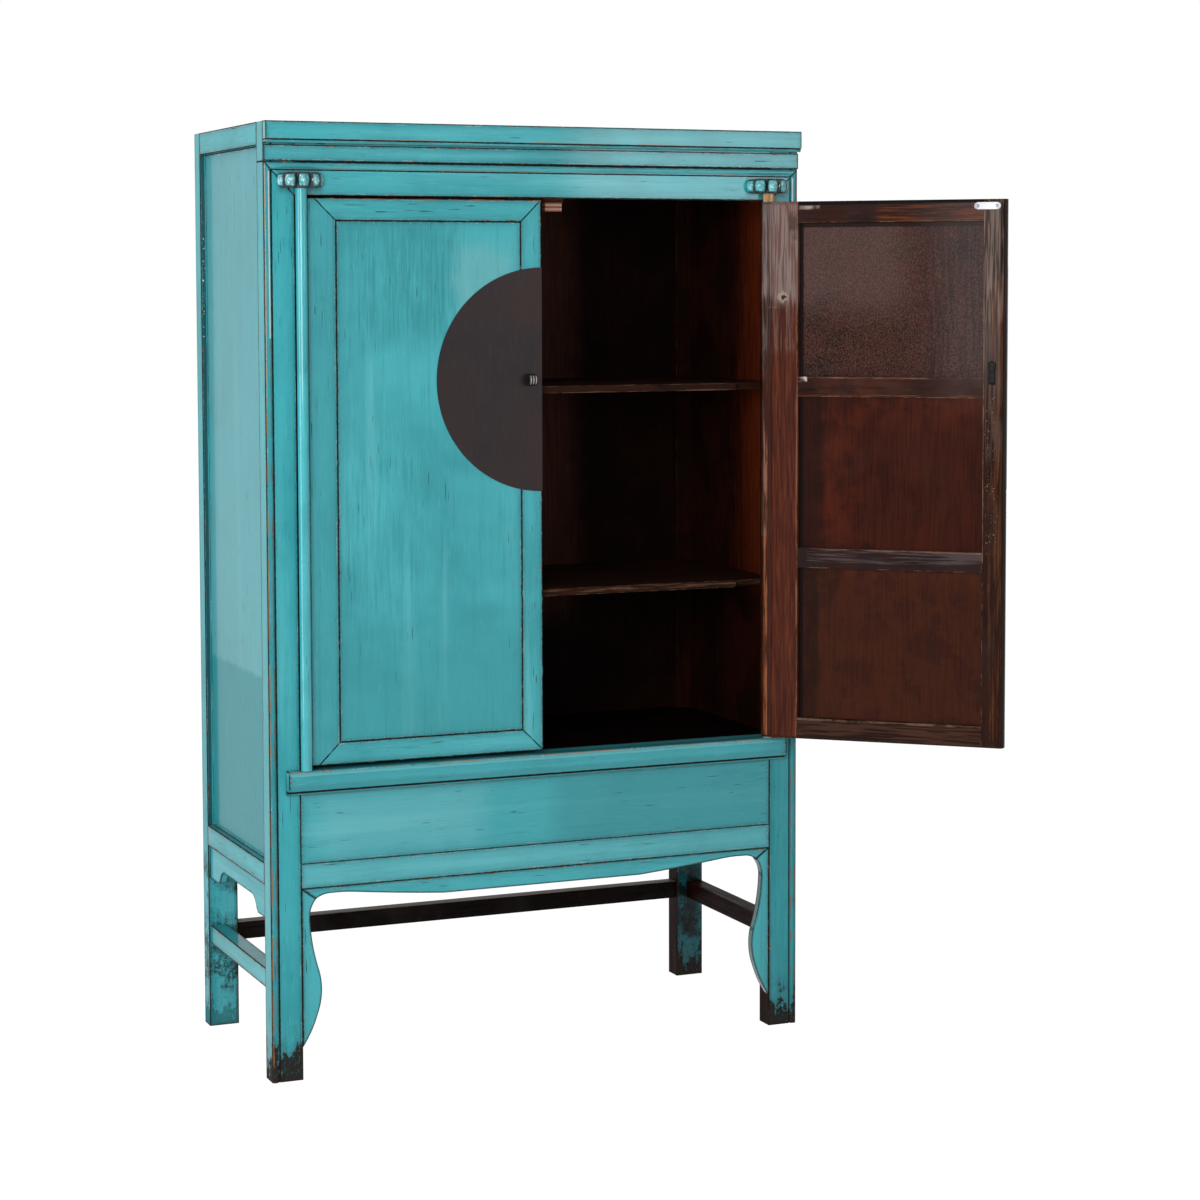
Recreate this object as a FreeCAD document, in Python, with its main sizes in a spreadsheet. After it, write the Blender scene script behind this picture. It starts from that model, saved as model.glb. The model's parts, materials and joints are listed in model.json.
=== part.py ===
import FreeCAD, Part

import os
from types import SimpleNamespace

import Sketcher

# Chinese wedding cabinet in turquoise lacquer, with two doors that turn on round pivot posts.
# The origin is on the floor at the centre of the footprint. +X is to the right of someone who
# faces the doors, -Y is the front and +Z is up. Lengths are millimetres and angles are degrees.
# The right door stands open by right_door_angle and the left door is shut.

SIZES = {
    # Whole cabinet, measured over the posts.
    "cabinet_width": 1100.0,
    "cabinet_depth": 490.0,
    "cabinet_height": 1800.0,

    # Posts, which run down into the legs, and the bead and groove along the outer front edge.
    "post_width": 60.0,
    "post_depth": 42.0,
    "bead_width": 12.0,
    "bead_rise": 2.0,
    "groove_width": 3.0,
    "groove_depth": 2.5,
    "post_arris": 4.0,

    # Mortise and tenon joints of the frame.
    "tenon_thickness": 12.0,
    "tenon_length": 25.0,
    "side_tenon_inset": 16.0,
    "joint_play": 0.1,
    "head_mitre_depth": 14.0,
    "overrun": 5.0,

    # Front rails, from the top down and from the floor up.
    "upper_front_rail_height": 74.0,
    "head_rail_height": 62.0,
    "sill_rail_bottom": 545.0,
    "sill_rail_height": 45.0,
    "lower_front_rail_bottom": 365.0,
    "lower_front_rail_height": 47.0,

    # Side and rear rails.
    "rail_depth": 42.0,
    "top_side_rail_height": 43.0,
    "top_rear_rail_height": 60.0,
    "lower_rail_lift": 6.0,

    # Frieze board and cornice cap.
    "frieze_gap": 1.0,
    "frieze_shadow_gap": 3.0,
    "frieze_depth": 5.0,
    "cap_height": 40.0,
    "cap_depth": 20.0,
    "cap_lip_height": 6.0,
    "cap_lip_inset": 3.0,
    "cap_round": 3.0,

    # Sill moulding, which carries the lower pivots.
    "sill_moulding_end_inset": 32.0,
    "sill_moulding_cover": 9.0,
    "sill_moulding_rise": 1.0,
    "sill_fillet_height": 7.0,
    "sill_fillet_depth": 12.0,
    "sill_edge_setback": 4.0,

    # Panels and boards with their grooves.
    "panel_groove": 8.0,
    "side_panel_recess": 12.0,
    "side_panel_thickness": 14.0,
    "back_panel_thickness": 10.0,
    "back_panel_recess": 13.0,
    "front_panel_thickness": 14.0,
    "front_panel_tongue": 8.0,
    "front_panel_tongue_inset": 4.0,
    "front_panel_recess": 0.5,
    "board_thickness": 12.0,
    "top_board_drop": 4.0,
    "base_board_drop": 12.0,
    "floor_board_thickness": 14.0,
    "floor_board_drop": 3.0,
    "fit_gap": 0.3,

    # Shelves.
    "shelf_thickness": 14.0,
    "lower_shelf_rise": 317.0,
    "upper_shelf_drop": 362.0,
    "shelf_door_gap": 2.0,
    "shelf_post_gap": 2.0,
    "shelf_corner_length": 97.0,
    "shelf_housing": 4.0,

    # Cusped apron and leg brackets under the front.
    "apron_thickness": 16.0,
    "apron_recess": 0.5,
    "apron_height": 34.0,
    "leg_bracket_reach": 38.5,
    "leg_bracket_toe": 62.0,

    # Side aprons.
    "side_apron_recess": 4.5,
    "side_apron_height": 67.0,

    # Stretchers between the legs.
    "stretcher_bottom": 171.0,
    "stretcher_height": 36.0,
    "side_stretcher_thickness": 32.0,
    "side_stretcher_inset": 4.0,
    "rear_stretcher_thickness": 28.0,
    "rear_stretcher_inset": 7.0,

    # Pivots of the doors.
    "pivot_inset": 9.0,
    "pivot_post_radius": 11.0,
    "pivot_gap": 2.0,
    "pivot_whittle": 6.0,
    "upper_pin_radius": 7.0,
    "upper_pin_length": 18.0,
    "lower_pin_radius": 5.0,
    "lower_pin_length": 18.0,
    "pin_clearance": 0.05,
    "pin_end_gap": 2.0,
    "shoulder_gap": 0.3,

    # Carved pivot brackets.
    "bracket_lift": 13.0,
    "bracket_height": 29.0,
    "bracket_half_width": 46.0,
    "bracket_depth": 38.0,
    "bracket_lobe_radius": 11.5,
    "bracket_lobe_end_radius": 7.5,

    # Doors.
    "door_proud": 3.0,
    "door_thickness": 25.0,
    "door_bottom_gap": 7.0,
    "door_top_gap": 4.0,
    "meeting_gap": 1.5,
    "hinge_stile_overhang": 6.0,
    "hinge_stile_width": 75.0,
    "meeting_stile_width": 42.25,
    "door_rail_height": 42.0,
    "door_mitre_depth": 8.0,
    "door_tenon_thickness": 8.0,
    "door_tenon_inset": 10.5,
    "hinge_tenon_length": 50.0,
    "meeting_tenon_length": 28.0,
    "door_edge_chamfer": 6.0,
    "meeting_edge_square": 10.0,
    "meeting_edge_bevel": 3.0,
    "stile_back_round": 7.0,
    "stile_back_groove": 4.0,
    "stile_back_groove_depth": 2.0,
    "stile_back_groove_place": 20.0,
    "door_panel_thickness": 13.0,
    "door_panel_tongue": 6.0,
    "door_panel_tongue_inset": 3.0,
    "door_panel_groove": 8.0,
    "door_panel_play": 0.4,
    "batten_height": 39.0,
    "batten_dovetail": 5.0,
    "batten_flare": 1.5,

    # Metal fittings.
    "moon_radius": 215.0,
    "moon_drop": 344.0,
    "moon_thickness": 2.0,
    "staple_inset": 26.0,
    "staple_width": 16.0,
    "staple_half_height": 11.0,
    "staple_reach": 22.0,
    "staple_eye_radius": 4.0,
    "staple_leaf_slot": 1.0,
    "staple_leaf_slot_depth": 1.5,
    "staple_shank_width": 10.0,
    "staple_shank_height": 5.0,
    "staple_tail_width": 14.0,
    "staple_tail_length": 26.0,
    "staple_tail_thickness": 3.0,
    "strike_length": 52.0,
    "strike_height": 14.0,
    "strike_thickness": 1.2,
    "strike_edge_inset": 9.5,
    "strike_drop": 13.0,
    "screw_radius": 4.0,
    "screw_rise": 0.8,
    "screw_inset": 8.0,
    "catch_door_gap": 2.5,
    "catch_width": 34.0,
    "catch_height": 17.0,
    "catch_depth": 16.0,
    "catch_block_height": 8.0,
    "catch_block_side": 4.0,
    "catch_slot_height": 3.0,
    "catch_slot_margin": 4.0,
    "catch_slot_depth": 2.0,

    # How far the right door stands open, in degrees.
    "right_door_angle": 138.0,
}

# Lower edge of the cusped apron: shares of the half width between the posts and of the height.
APRON_EDGE_SHARES = (
    ("point", 0.941, 0.618),
    ("through", 0.914, 0.430),
    ("point", 0.882, 0.375),
    ("through", 0.840, 0.370),
    ("point", 0.796, 0.410),
    ("through", 0.610, 0.700),
    ("point", 0.420, 0.940),
)

# Inner edge of a leg bracket: shares of its reach from the leg and of its drop from the rail.
LEG_BRACKET_SHARES = (
    ("through", 0.500, 0.125),
    ("point", 0.425, 0.200),
    ("through", 0.530, 0.335),
    ("point", 0.830, 0.505),
    ("through", 1.000, 0.650),
    ("point", 0.780, 0.795),
    ("through", 0.440, 0.905),
)

# Lower edge of a side apron: shares of the half depth between the posts and of the height.
SIDE_APRON_SHARES = (
    ("point", 0.740, 1.000),
    ("through", 0.675, 0.963),
    ("point", 0.640, 0.866),
    ("through", 0.580, 0.660),
    ("point", 0.483, 0.567),
)

# Where the bracket lobes stand, as shares of the way round its half oval plan.
BRACKET_LOBE_SHARES = (0.09, 0.29, 0.50, 0.71, 0.91)

# Heights of the battens' middles on a door, as shares of its height.
BATTEN_SHARES = (("lower", 0.340), ("upper", 0.658))

# How far the middle of a quarter round lies in from its corner, as a share of its radius.
ROUND_SHARE = 0.293

SIDES = (("left", -1), ("right", 1))


class Size:
    """A value in the sheet, or worked out from it, kept with the formula that gives it."""

    def __init__(self, value, formula):
        self.value = value
        self.formula = formula

    def __add__(self, other):
        return combine(self, "+", other)

    def __radd__(self, other):
        return combine(other, "+", self)

    def __sub__(self, other):
        return combine(self, "-", other)

    def __rsub__(self, other):
        return combine(other, "-", self)

    def __mul__(self, other):
        return combine(self, "*", other)

    def __rmul__(self, other):
        return combine(other, "*", self)

    def __truediv__(self, other):
        return combine(self, "/", other)

    def __neg__(self):
        return Size(-self.value, f"(-1 * {self.formula})")


def value_of(size):
    return size.value if isinstance(size, Size) else float(size)


def formula_of(size):
    return size.formula if isinstance(size, Size) else f"({float(size):.6f})"


def combine(first, sign, second):
    """Join two sizes, or a size and a number, with one arithmetic sign."""
    a = value_of(first)
    b = value_of(second)
    results = {"+": a + b, "-": a - b, "*": a * b}
    value = a / b if sign == "/" else results[sign]
    return Size(value, f"({formula_of(first)} {sign} {formula_of(second)})")


def fill_sheet(doc):
    """Put every driving size in the sheet and return the sizes by name."""
    sheet = doc.addObject("Spreadsheet::Sheet", "sizes")
    for row, (alias, value) in enumerate(SIZES.items(), start=1):
        sheet.set(f"A{row}", alias)
        sheet.set(f"B{row}", str(value))
        sheet.setAlias(f"B{row}", alias)
    doc.recompute()
    return SimpleNamespace(**{
        alias: Size(float(sheet.get(alias)), f"sizes.{alias}") for alias in SIZES
    })


doc = FreeCAD.newDocument("wedding_cabinet")
s = fill_sheet(doc)
parts = {}

# Planes and lines that many pieces share.
half_width = s.cabinet_width / 2
half_depth = s.cabinet_depth / 2
front = -half_depth
post_inner = half_width - s.post_width
post_back = half_depth - s.post_depth
head_rail_top = s.cabinet_height - s.upper_front_rail_height
head_rail_bottom = head_rail_top - s.head_rail_height
sill_top = s.sill_rail_bottom + s.sill_rail_height
lower_front_rail_top = s.lower_front_rail_bottom + s.lower_front_rail_height
lower_rail_bottom = s.lower_front_rail_bottom + s.lower_rail_lift
top_side_rail_bottom = s.cabinet_height - s.top_side_rail_height
top_rear_rail_bottom = s.cabinet_height - s.top_rear_rail_height
side_rail_inner = half_width - s.rail_depth
side_panel_outer = half_width - s.side_panel_recess
side_panel_inner = side_panel_outer - s.side_panel_thickness
back_panel_back = half_depth - s.back_panel_recess
back_panel_front = back_panel_back - s.back_panel_thickness
sill_moulding_top = sill_top + s.sill_moulding_rise
rail_shoulder = s.panel_groove + s.fit_gap

# Pivot axis of each door, and the door as seen from it: reach runs from the axis to the free edge.
pivot_x = post_inner - s.pivot_inset
pivot_y = front - s.pivot_gap - s.pivot_post_radius
door_bottom = sill_top + s.door_bottom_gap
door_top = head_rail_bottom - s.door_top_gap
door_reach = pivot_x - s.meeting_gap / 2
door_front = s.pivot_post_radius + s.pivot_gap - s.door_proud
door_back = door_front + s.door_thickness
hinge_stile_inner = s.hinge_stile_width - s.hinge_stile_overhang
meeting_stile_inner = door_reach - s.meeting_stile_width
door_panel_bottom = door_bottom + s.door_rail_height
door_panel_top = door_top - s.door_rail_height
door_back_y = pivot_y + door_back
moon_height = door_top - s.moon_drop
bracket_bottom = head_rail_bottom + s.bracket_lift
strike_far = door_reach - s.strike_edge_inset
strike_near = strike_far - s.strike_length
BATTENS = tuple(
    (name, door_bottom + share * (door_top - door_bottom)) for name, share in BATTEN_SHARES
)
SHELVES = (
    ("lower_shelf", sill_top + s.lower_shelf_rise),
    ("upper_shelf", head_rail_bottom - s.upper_shelf_drop),
)


def bind(target, path, size):
    """Tie a property to the sheet. A plain zero needs no formula."""
    if isinstance(size, Size):
        target.setExpression(path, size.formula)


def add(kind, label):
    feature = doc.addObject(kind, label)
    feature.Label = label
    return feature


def block(label, x, y, z):
    """A box between two limits along each axis."""
    box = add("Part::Box", label)
    for name, axis, (low, high) in (("Length", "x", x), ("Width", "y", y), ("Height", "z", z)):
        bind(box, name, high - low)
        bind(box, f"Placement.Base.{axis}", low)
    return box


def rod(label, x, y, z, radius):
    """An upright round rod between two heights."""
    bar = add("Part::Cylinder", label)
    bind(bar, "Radius", radius)
    bind(bar, "Height", z[1] - z[0])
    bind(bar, "Placement.Base.x", x)
    bind(bar, "Placement.Base.y", y)
    bind(bar, "Placement.Base.z", z[0])
    return bar


def cross_rod(label, direction, start, length, radius):
    """A round rod along X or Y from its start point."""
    bar = add("Part::Cylinder", label)
    turn_axis = FreeCAD.Vector(0, 1, 0) if direction == "x" else FreeCAD.Vector(-1, 0, 0)
    bar.Placement = FreeCAD.Placement(FreeCAD.Vector(0, 0, 0), FreeCAD.Rotation(turn_axis, 90))
    bind(bar, "Radius", radius)
    bind(bar, "Height", length)
    for axis, place in zip("xyz", start):
        bind(bar, f"Placement.Base.{axis}", place)
    return bar


def sketch_on(body, plane):
    """An empty sketch on one of the body's own origin planes."""
    sketch = body.newObject("Sketcher::SketchObject", f"{body.Label}_outline")
    role = f"{plane}_Plane"
    origin_plane = [item for item in body.Origin.OriginFeatures if item.Role == role][0]
    sketch.AttachmentSupport = [(origin_plane, "")]
    sketch.MapMode = "FlatFace"
    return sketch


def end_at(sketch, edge, point):
    """Which end of a sketch edge lies at a point: 1 for its start and 2 for its end."""
    place = FreeCAD.Vector(value_of(point[0]), value_of(point[1]), 0)
    start = sketch.getPoint(edge, 1) - place
    end = sketch.getPoint(edge, 2) - place
    return 1 if start.Length < end.Length else 2


def pin_point(sketch, edge, end, point):
    """Hold a sketch point at its sheet place across and up."""
    for kind, axis, place in (("DistanceX", -2, point[0]), ("DistanceY", -1, point[1])):
        if not isinstance(place, Size):
            sketch.addConstraint(Sketcher.Constraint("PointOnObject", edge, end, axis))
            continue
        held = Sketcher.Constraint(kind, -1, 1, edge, end, place.value)
        index = sketch.addConstraint(held)
        sketch.setExpression(f"Constraints[{index}]", place.formula)


def draw_outline(sketch, outline):
    """Draw a closed outline of ("point", x, y) corners, with ("through", x, y) for arcs."""
    corners = [item[1:] for item in outline if item[0] == "point"]
    middles = {}
    count = 0
    for item in outline:
        if item[0] == "point":
            count += 1
        else:
            middles[count - 1] = item[1:]
    vectors = [FreeCAD.Vector(value_of(x), value_of(y), 0) for x, y in corners]
    edges = []
    for index, start in enumerate(vectors):
        end = vectors[(index + 1) % len(vectors)]
        if index in middles:
            middle = FreeCAD.Vector(*[value_of(place) for place in middles[index]], 0)
            edges.append(sketch.addGeometry(Part.Arc(start, middle, end), False))
        else:
            edges.append(sketch.addGeometry(Part.LineSegment(start, end), False))
    for index, edge in enumerate(edges):
        corner = corners[(index + 1) % len(corners)]
        following = edges[(index + 1) % len(edges)]
        ends = (edge, end_at(sketch, edge, corner), following, end_at(sketch, following, corner))
        sketch.addConstraint(Sketcher.Constraint("Coincident", *ends))
    for edge, corner in zip(edges, corners):
        pin_point(sketch, edge, end_at(sketch, edge, corner), corner)
    for index, place in middles.items():
        point = FreeCAD.Vector(value_of(place[0]), value_of(place[1]), 0)
        mark = sketch.addGeometry(Part.Point(point), True)
        sketch.addConstraint(Sketcher.Constraint("PointOnObject", mark, 1, edges[index]))
        pin_point(sketch, mark, 1, place)


def prism(label, plane, outline, limits):
    """A body with one outline, drawn on a plane and padded between two limits across it."""
    body = add("PartDesign::Body", label)
    sketch = sketch_on(body, plane)
    draw_outline(sketch, outline)
    low, high = limits
    start = -high if plane == "XZ" else low
    bind(sketch, "AttachmentOffset.Base.z", start)
    pad = body.newObject("PartDesign::Pad", f"{label}_pad")
    pad.Profile = sketch
    bind(pad, "Length", high - low)
    return body


def turned(label, outline):
    """A body of revolution about +Z, from an outline of radius and height."""
    body = add("PartDesign::Body", label)
    sketch = sketch_on(body, "XZ")
    draw_outline(sketch, outline)
    spin = body.newObject("PartDesign::Revolution", f"{label}_turn")
    spin.Profile = sketch
    spin.ReferenceAxis = (sketch, ["V_Axis"])
    return body


def fuse(label, pieces):
    union = add("Part::MultiFuse", label)
    union.Shapes = pieces
    union.Refine = True
    return union


def cut(label, base, tools):
    """The base with every tool taken away."""
    result = add("Part::Cut", label)
    result.Base = base
    result.Tool = tools[0] if len(tools) == 1 else fuse(f"{label}_tools", tools)
    result.Refine = True
    return result


def keep(node, piece):
    """Name a finished piece and list it for export."""
    piece.Label = node
    parts[node] = piece
    return piece


def span(side, inner, outer):
    """The limits in X of a stretch from inner to outer, on the left or the right."""
    return (inner, outer) if side > 0 else (-outer, -inner)


def mirrored(outline, side):
    return [(kind, side * x if isinstance(x, Size) else x, y) for kind, x, y in outline]


def from_shares(shares, origin, across, down):
    """Outline points from a table of shares, measured across and down from an origin."""
    x, z = origin
    return [(kind, x + a * across, z - b * down) for kind, a, b in shares]


def grown(limits, play):
    return (limits[0] - play, limits[1] + play)


# Joints of the frame. A rail across the front or back has tenons along X, a side rail along Y.

def cross_tenon_limits(side, rail_y, rail_z):
    middle = (rail_y[0] + rail_y[1]) / 2
    x = span(side, post_inner, post_inner + s.tenon_length)
    y = (middle - s.tenon_thickness / 2, middle + s.tenon_thickness / 2)
    return x, y, (rail_z[0] + rail_shoulder, rail_z[1] - rail_shoulder)


def side_tenon_limits(side, end, rail_z):
    outer = half_width - s.side_tenon_inset
    x = span(side, outer - s.tenon_thickness, outer)
    y = span(end, post_back, post_back + s.tenon_length)
    return x, y, (rail_z[0] + rail_shoulder, rail_z[1] - rail_shoulder)


def mortise(label, limits):
    return block(label, *[grown(pair, s.joint_play) for pair in limits])


front_rail_y = (front, front + s.rail_depth)
rear_rail_y = (half_depth - s.rail_depth, half_depth)
head_rail_z = (head_rail_bottom, head_rail_top)
upper_front_rail_z = (head_rail_top, s.cabinet_height)
sill_rail_z = (s.sill_rail_bottom, sill_top)
lower_front_rail_z = (s.lower_front_rail_bottom, lower_front_rail_top)
top_side_rail_z = (top_side_rail_bottom, s.cabinet_height)
top_rear_rail_z = (top_rear_rail_bottom, s.cabinet_height)
lower_rail_z = (lower_rail_bottom, lower_front_rail_top)
stretcher_z = (s.stretcher_bottom, s.stretcher_bottom + s.stretcher_height)
rear_stretcher_y = (
    post_back + s.rear_stretcher_inset,
    post_back + s.rear_stretcher_inset + s.rear_stretcher_thickness,
)
FRONT_RAILS = (
    ("head_rail", front_rail_y, head_rail_z),
    ("upper_front_rail", front_rail_y, upper_front_rail_z),
    ("sill_rail", front_rail_y, sill_rail_z),
    ("lower_front_rail", front_rail_y, lower_front_rail_z),
)
REAR_RAILS = (
    ("top_rear_rail", rear_rail_y, top_rear_rail_z),
    ("lower_rear_rail", rear_rail_y, lower_rail_z),
    ("rear_stretcher", rear_stretcher_y, stretcher_z),
)
SIDE_RAILS = (
    ("top_side_rail", top_side_rail_z),
    ("lower_side_rail", lower_rail_z),
    ("side_stretcher", stretcher_z),
)

top_board_z = (
    s.cabinet_height - s.top_board_drop - s.board_thickness,
    s.cabinet_height - s.top_board_drop,
)
base_board_z = (
    lower_front_rail_top - s.base_board_drop - s.board_thickness,
    lower_front_rail_top - s.base_board_drop,
)
floor_board_z = (
    sill_top - s.floor_board_drop - s.floor_board_thickness,
    sill_top - s.floor_board_drop,
)
side_panel_z = (lower_front_rail_top - s.panel_groove, top_side_rail_bottom + s.panel_groove)
back_panel_z = (lower_front_rail_top - s.panel_groove, top_rear_rail_bottom + s.panel_groove)


# Posts.

def front_post_outline():
    """Plan of a right front post: a domed bead, a groove and a flat field."""
    bead_inner = half_width - s.bead_width
    groove_inner = bead_inner - s.groove_width
    return [
        ("point", half_width, -post_back),
        ("point", half_width, front),
        ("through", half_width - s.bead_width / 2, front - s.bead_rise),
        ("point", bead_inner, front),
        ("point", bead_inner, front + s.groove_depth),
        ("point", groove_inner, front + s.groove_depth),
        ("point", groove_inner, front),
        ("point", post_inner, front),
        ("point", post_inner, -post_back),
    ]


def rear_post_outline():
    """Plan of a right rear post, with its outer rear edge eased."""
    eased = s.post_arris * ROUND_SHARE
    return [
        ("point", post_inner, post_back),
        ("point", half_width, post_back),
        ("point", half_width, half_depth - s.post_arris),
        ("through", half_width - eased, half_depth - eased),
        ("point", half_width - s.post_arris, half_depth),
        ("point", post_inner, half_depth),
    ]


def head_mitre_outline(side):
    """The corner over the mitre between post and head rail, seen from the front."""
    return mirrored([
        ("point", post_inner, head_rail_bottom),
        ("point", half_width, head_rail_top),
        ("point", post_inner, head_rail_top),
    ], side)


def side_mortises(node, side, end):
    tools = []
    for rail, rail_z in SIDE_RAILS:
        tools.append(mortise(f"{node}_{rail}_mortise", side_tenon_limits(side, end, rail_z)))
    groove_y = span(end, post_back, post_back + s.panel_groove)
    groove_x = span(side, side_panel_inner, side_panel_outer)
    tools.append(block(f"{node}_panel_groove", groove_x, groove_y, side_panel_z))
    return tools


def make_front_post(name, side):
    node = f"front_{name}_post"
    blank = prism(f"{node}_blank", "XY", mirrored(front_post_outline(), side), (0, s.cabinet_height))
    before = (front - s.overrun, front + s.head_mitre_depth)
    tools = [prism(f"{node}_mitre", "XZ", head_mitre_outline(side), before)]
    above = (head_rail_top, s.cabinet_height + s.overrun)
    outer = span(side, post_inner - s.overrun, half_width + s.overrun)
    tools.append(block(f"{node}_frieze_seat", outer, (front - s.overrun, front), above))
    for rail, rail_y, rail_z in FRONT_RAILS:
        tools.append(mortise(f"{node}_{rail}_mortise", cross_tenon_limits(side, rail_y, rail_z)))
    tools += side_mortises(node, side, -1)
    groove_x = span(side, post_inner - s.overrun, post_inner + s.panel_groove)
    tools.append(block(f"{node}_front_groove", groove_x, front_tongue_y(), front_tongue_z()))
    keep(node, cut(node, blank, tools))


def make_rear_post(name, side):
    node = f"rear_{name}_post"
    blank = prism(f"{node}_blank", "XY", mirrored(rear_post_outline(), side), (0, s.cabinet_height))
    tools = []
    for rail, rail_y, rail_z in REAR_RAILS:
        tools.append(mortise(f"{node}_{rail}_mortise", cross_tenon_limits(side, rail_y, rail_z)))
    tools += side_mortises(node, side, 1)
    groove_x = span(side, post_inner - s.overrun, post_inner + s.panel_groove)
    groove_y = (back_panel_front, back_panel_back)
    tools.append(block(f"{node}_back_groove", groove_x, groove_y, back_panel_z))
    keep(node, cut(node, blank, tools))


# Rails.

def cross_tenons(node, rail_y, rail_z):
    return [
        block(f"{node}_{name}_tenon", *cross_tenon_limits(side, rail_y, rail_z))
        for name, side in SIDES
    ]


def rail_blank(node, rail_y, rail_z):
    return block(f"{node}_blank", (-post_inner, post_inner), rail_y, rail_z)


def make_head_rail():
    """Head rail with its bead, and front lips mitred over both posts."""
    node, rail_y, rail_z = FRONT_RAILS[0]
    bottom, top = rail_z
    bead_bottom = top - s.bead_width
    groove_bottom = bead_bottom - s.groove_width
    lip_back = front + s.head_mitre_depth

    def section(back):
        return [
            ("point", back, bottom),
            ("point", back, top),
            ("point", front, top),
            ("through", front - s.bead_rise, top - s.bead_width / 2),
            ("point", front, bead_bottom),
            ("point", front + s.groove_depth, bead_bottom),
            ("point", front + s.groove_depth, groove_bottom),
            ("point", front, groove_bottom),
            ("point", front, bottom),
        ]

    core = prism(f"{node}_core", "YZ", section(rail_y[1]), (-post_inner, post_inner))
    pieces = [core] + cross_tenons(node, rail_y, rail_z)
    for name, side in SIDES:
        strip = prism(f"{node}_{name}_strip", "YZ", section(lip_back), span(side, post_inner, half_width))
        corner = prism(
            f"{node}_{name}_mitre", "XZ", head_mitre_outline(side), (front - s.overrun, lip_back)
        )
        lip = add("Part::MultiCommon", f"{node}_{name}_lip")
        lip.Shapes = [strip, corner]
        pieces.append(lip)
    keep(node, fuse(node, pieces))


def make_upper_front_rail():
    node, rail_y, rail_z = FRONT_RAILS[1]
    pieces = [rail_blank(node, rail_y, rail_z)] + cross_tenons(node, rail_y, rail_z)
    blank = fuse(f"{node}_whole", pieces)
    groove_y = (rail_y[1] - s.panel_groove, rail_y[1] + s.overrun)
    groove = block(f"{node}_groove", (-post_inner, post_inner), groove_y, top_board_z)
    keep(node, cut(node, blank, [groove]))


def make_sill_rail():
    node, rail_y, rail_z = FRONT_RAILS[2]
    pieces = [rail_blank(node, rail_y, rail_z)] + cross_tenons(node, rail_y, rail_z)
    blank = fuse(f"{node}_whole", pieces)
    across = (-post_inner, post_inner)
    panel_z = (rail_z[0] - s.overrun, rail_z[0] + s.panel_groove)
    floor_y = (rail_y[1] - s.panel_groove, rail_y[1] + s.overrun)
    tools = [
        block(f"{node}_panel_groove", across, front_tongue_y(), panel_z),
        block(f"{node}_floor_groove", across, floor_y, floor_board_z),
    ]
    keep(node, cut(node, blank, tools))


def make_lower_front_rail():
    node, rail_y, rail_z = FRONT_RAILS[3]
    pieces = [rail_blank(node, rail_y, rail_z)] + cross_tenons(node, rail_y, rail_z)
    blank = fuse(f"{node}_whole", pieces)
    across = (-post_inner, post_inner)
    panel_z = (rail_z[1] - s.panel_groove, rail_z[1] + s.overrun)
    base_y = (rail_y[1] - s.panel_groove, rail_y[1] + s.overrun)
    tools = [
        block(f"{node}_panel_groove", across, front_tongue_y(), panel_z),
        block(f"{node}_base_groove", across, base_y, base_board_z),
    ]
    keep(node, cut(node, blank, tools))


def make_rear_rails():
    """Top and lower rear rails, grooved for the back panel and for the board beside each."""
    boards = {"top_rear_rail": top_board_z, "lower_rear_rail": base_board_z}
    for node, rail_y, rail_z in REAR_RAILS[:2]:
        pieces = [rail_blank(node, rail_y, rail_z)] + cross_tenons(node, rail_y, rail_z)
        blank = fuse(f"{node}_whole", pieces)
        across = (-post_inner, post_inner)
        board_y = (rail_y[0] - s.overrun, rail_y[0] + s.panel_groove)
        tools = [
            block(f"{node}_panel_groove", across, (back_panel_front, back_panel_back), back_panel_z),
            block(f"{node}_board_groove", across, board_y, boards[node]),
        ]
        keep(node, cut(node, blank, tools))


def make_rear_stretcher():
    node, rail_y, rail_z = REAR_RAILS[2]
    keep(node, fuse(node, [rail_blank(node, rail_y, rail_z)] + cross_tenons(node, rail_y, rail_z)))


def side_tenons(node, side, rail_z):
    return [
        block(f"{node}_{name}_tenon", *side_tenon_limits(side, end, rail_z))
        for name, end in (("front", -1), ("rear", 1))
    ]


def make_side_rail(node, side, rail_z, panel_z, board_z):
    """A rail between the posts of one side, grooved for the side panel and for a board."""
    body = block(f"{node}_blank", span(side, side_rail_inner, half_width), (-post_back, post_back), rail_z)
    blank = fuse(f"{node}_whole", [body] + side_tenons(node, side, rail_z))
    along = (-post_back, post_back)
    board_x = span(side, side_rail_inner - s.overrun, side_rail_inner + s.panel_groove)
    tools = [
        block(f"{node}_panel_groove", span(side, side_panel_inner, side_panel_outer), along, panel_z),
        block(f"{node}_board_groove", board_x, along, board_z),
    ]
    keep(node, cut(node, blank, tools))


def make_side_stretcher(name, side):
    node = f"{name}_side_stretcher"
    outer = half_width - s.side_stretcher_inset
    x = span(side, outer - s.side_stretcher_thickness, outer)
    body = block(f"{node}_blank", x, (-post_back, post_back), stretcher_z)
    keep(node, fuse(node, [body] + side_tenons(node, side, stretcher_z)))


# Cornice and sill moulding.

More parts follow.
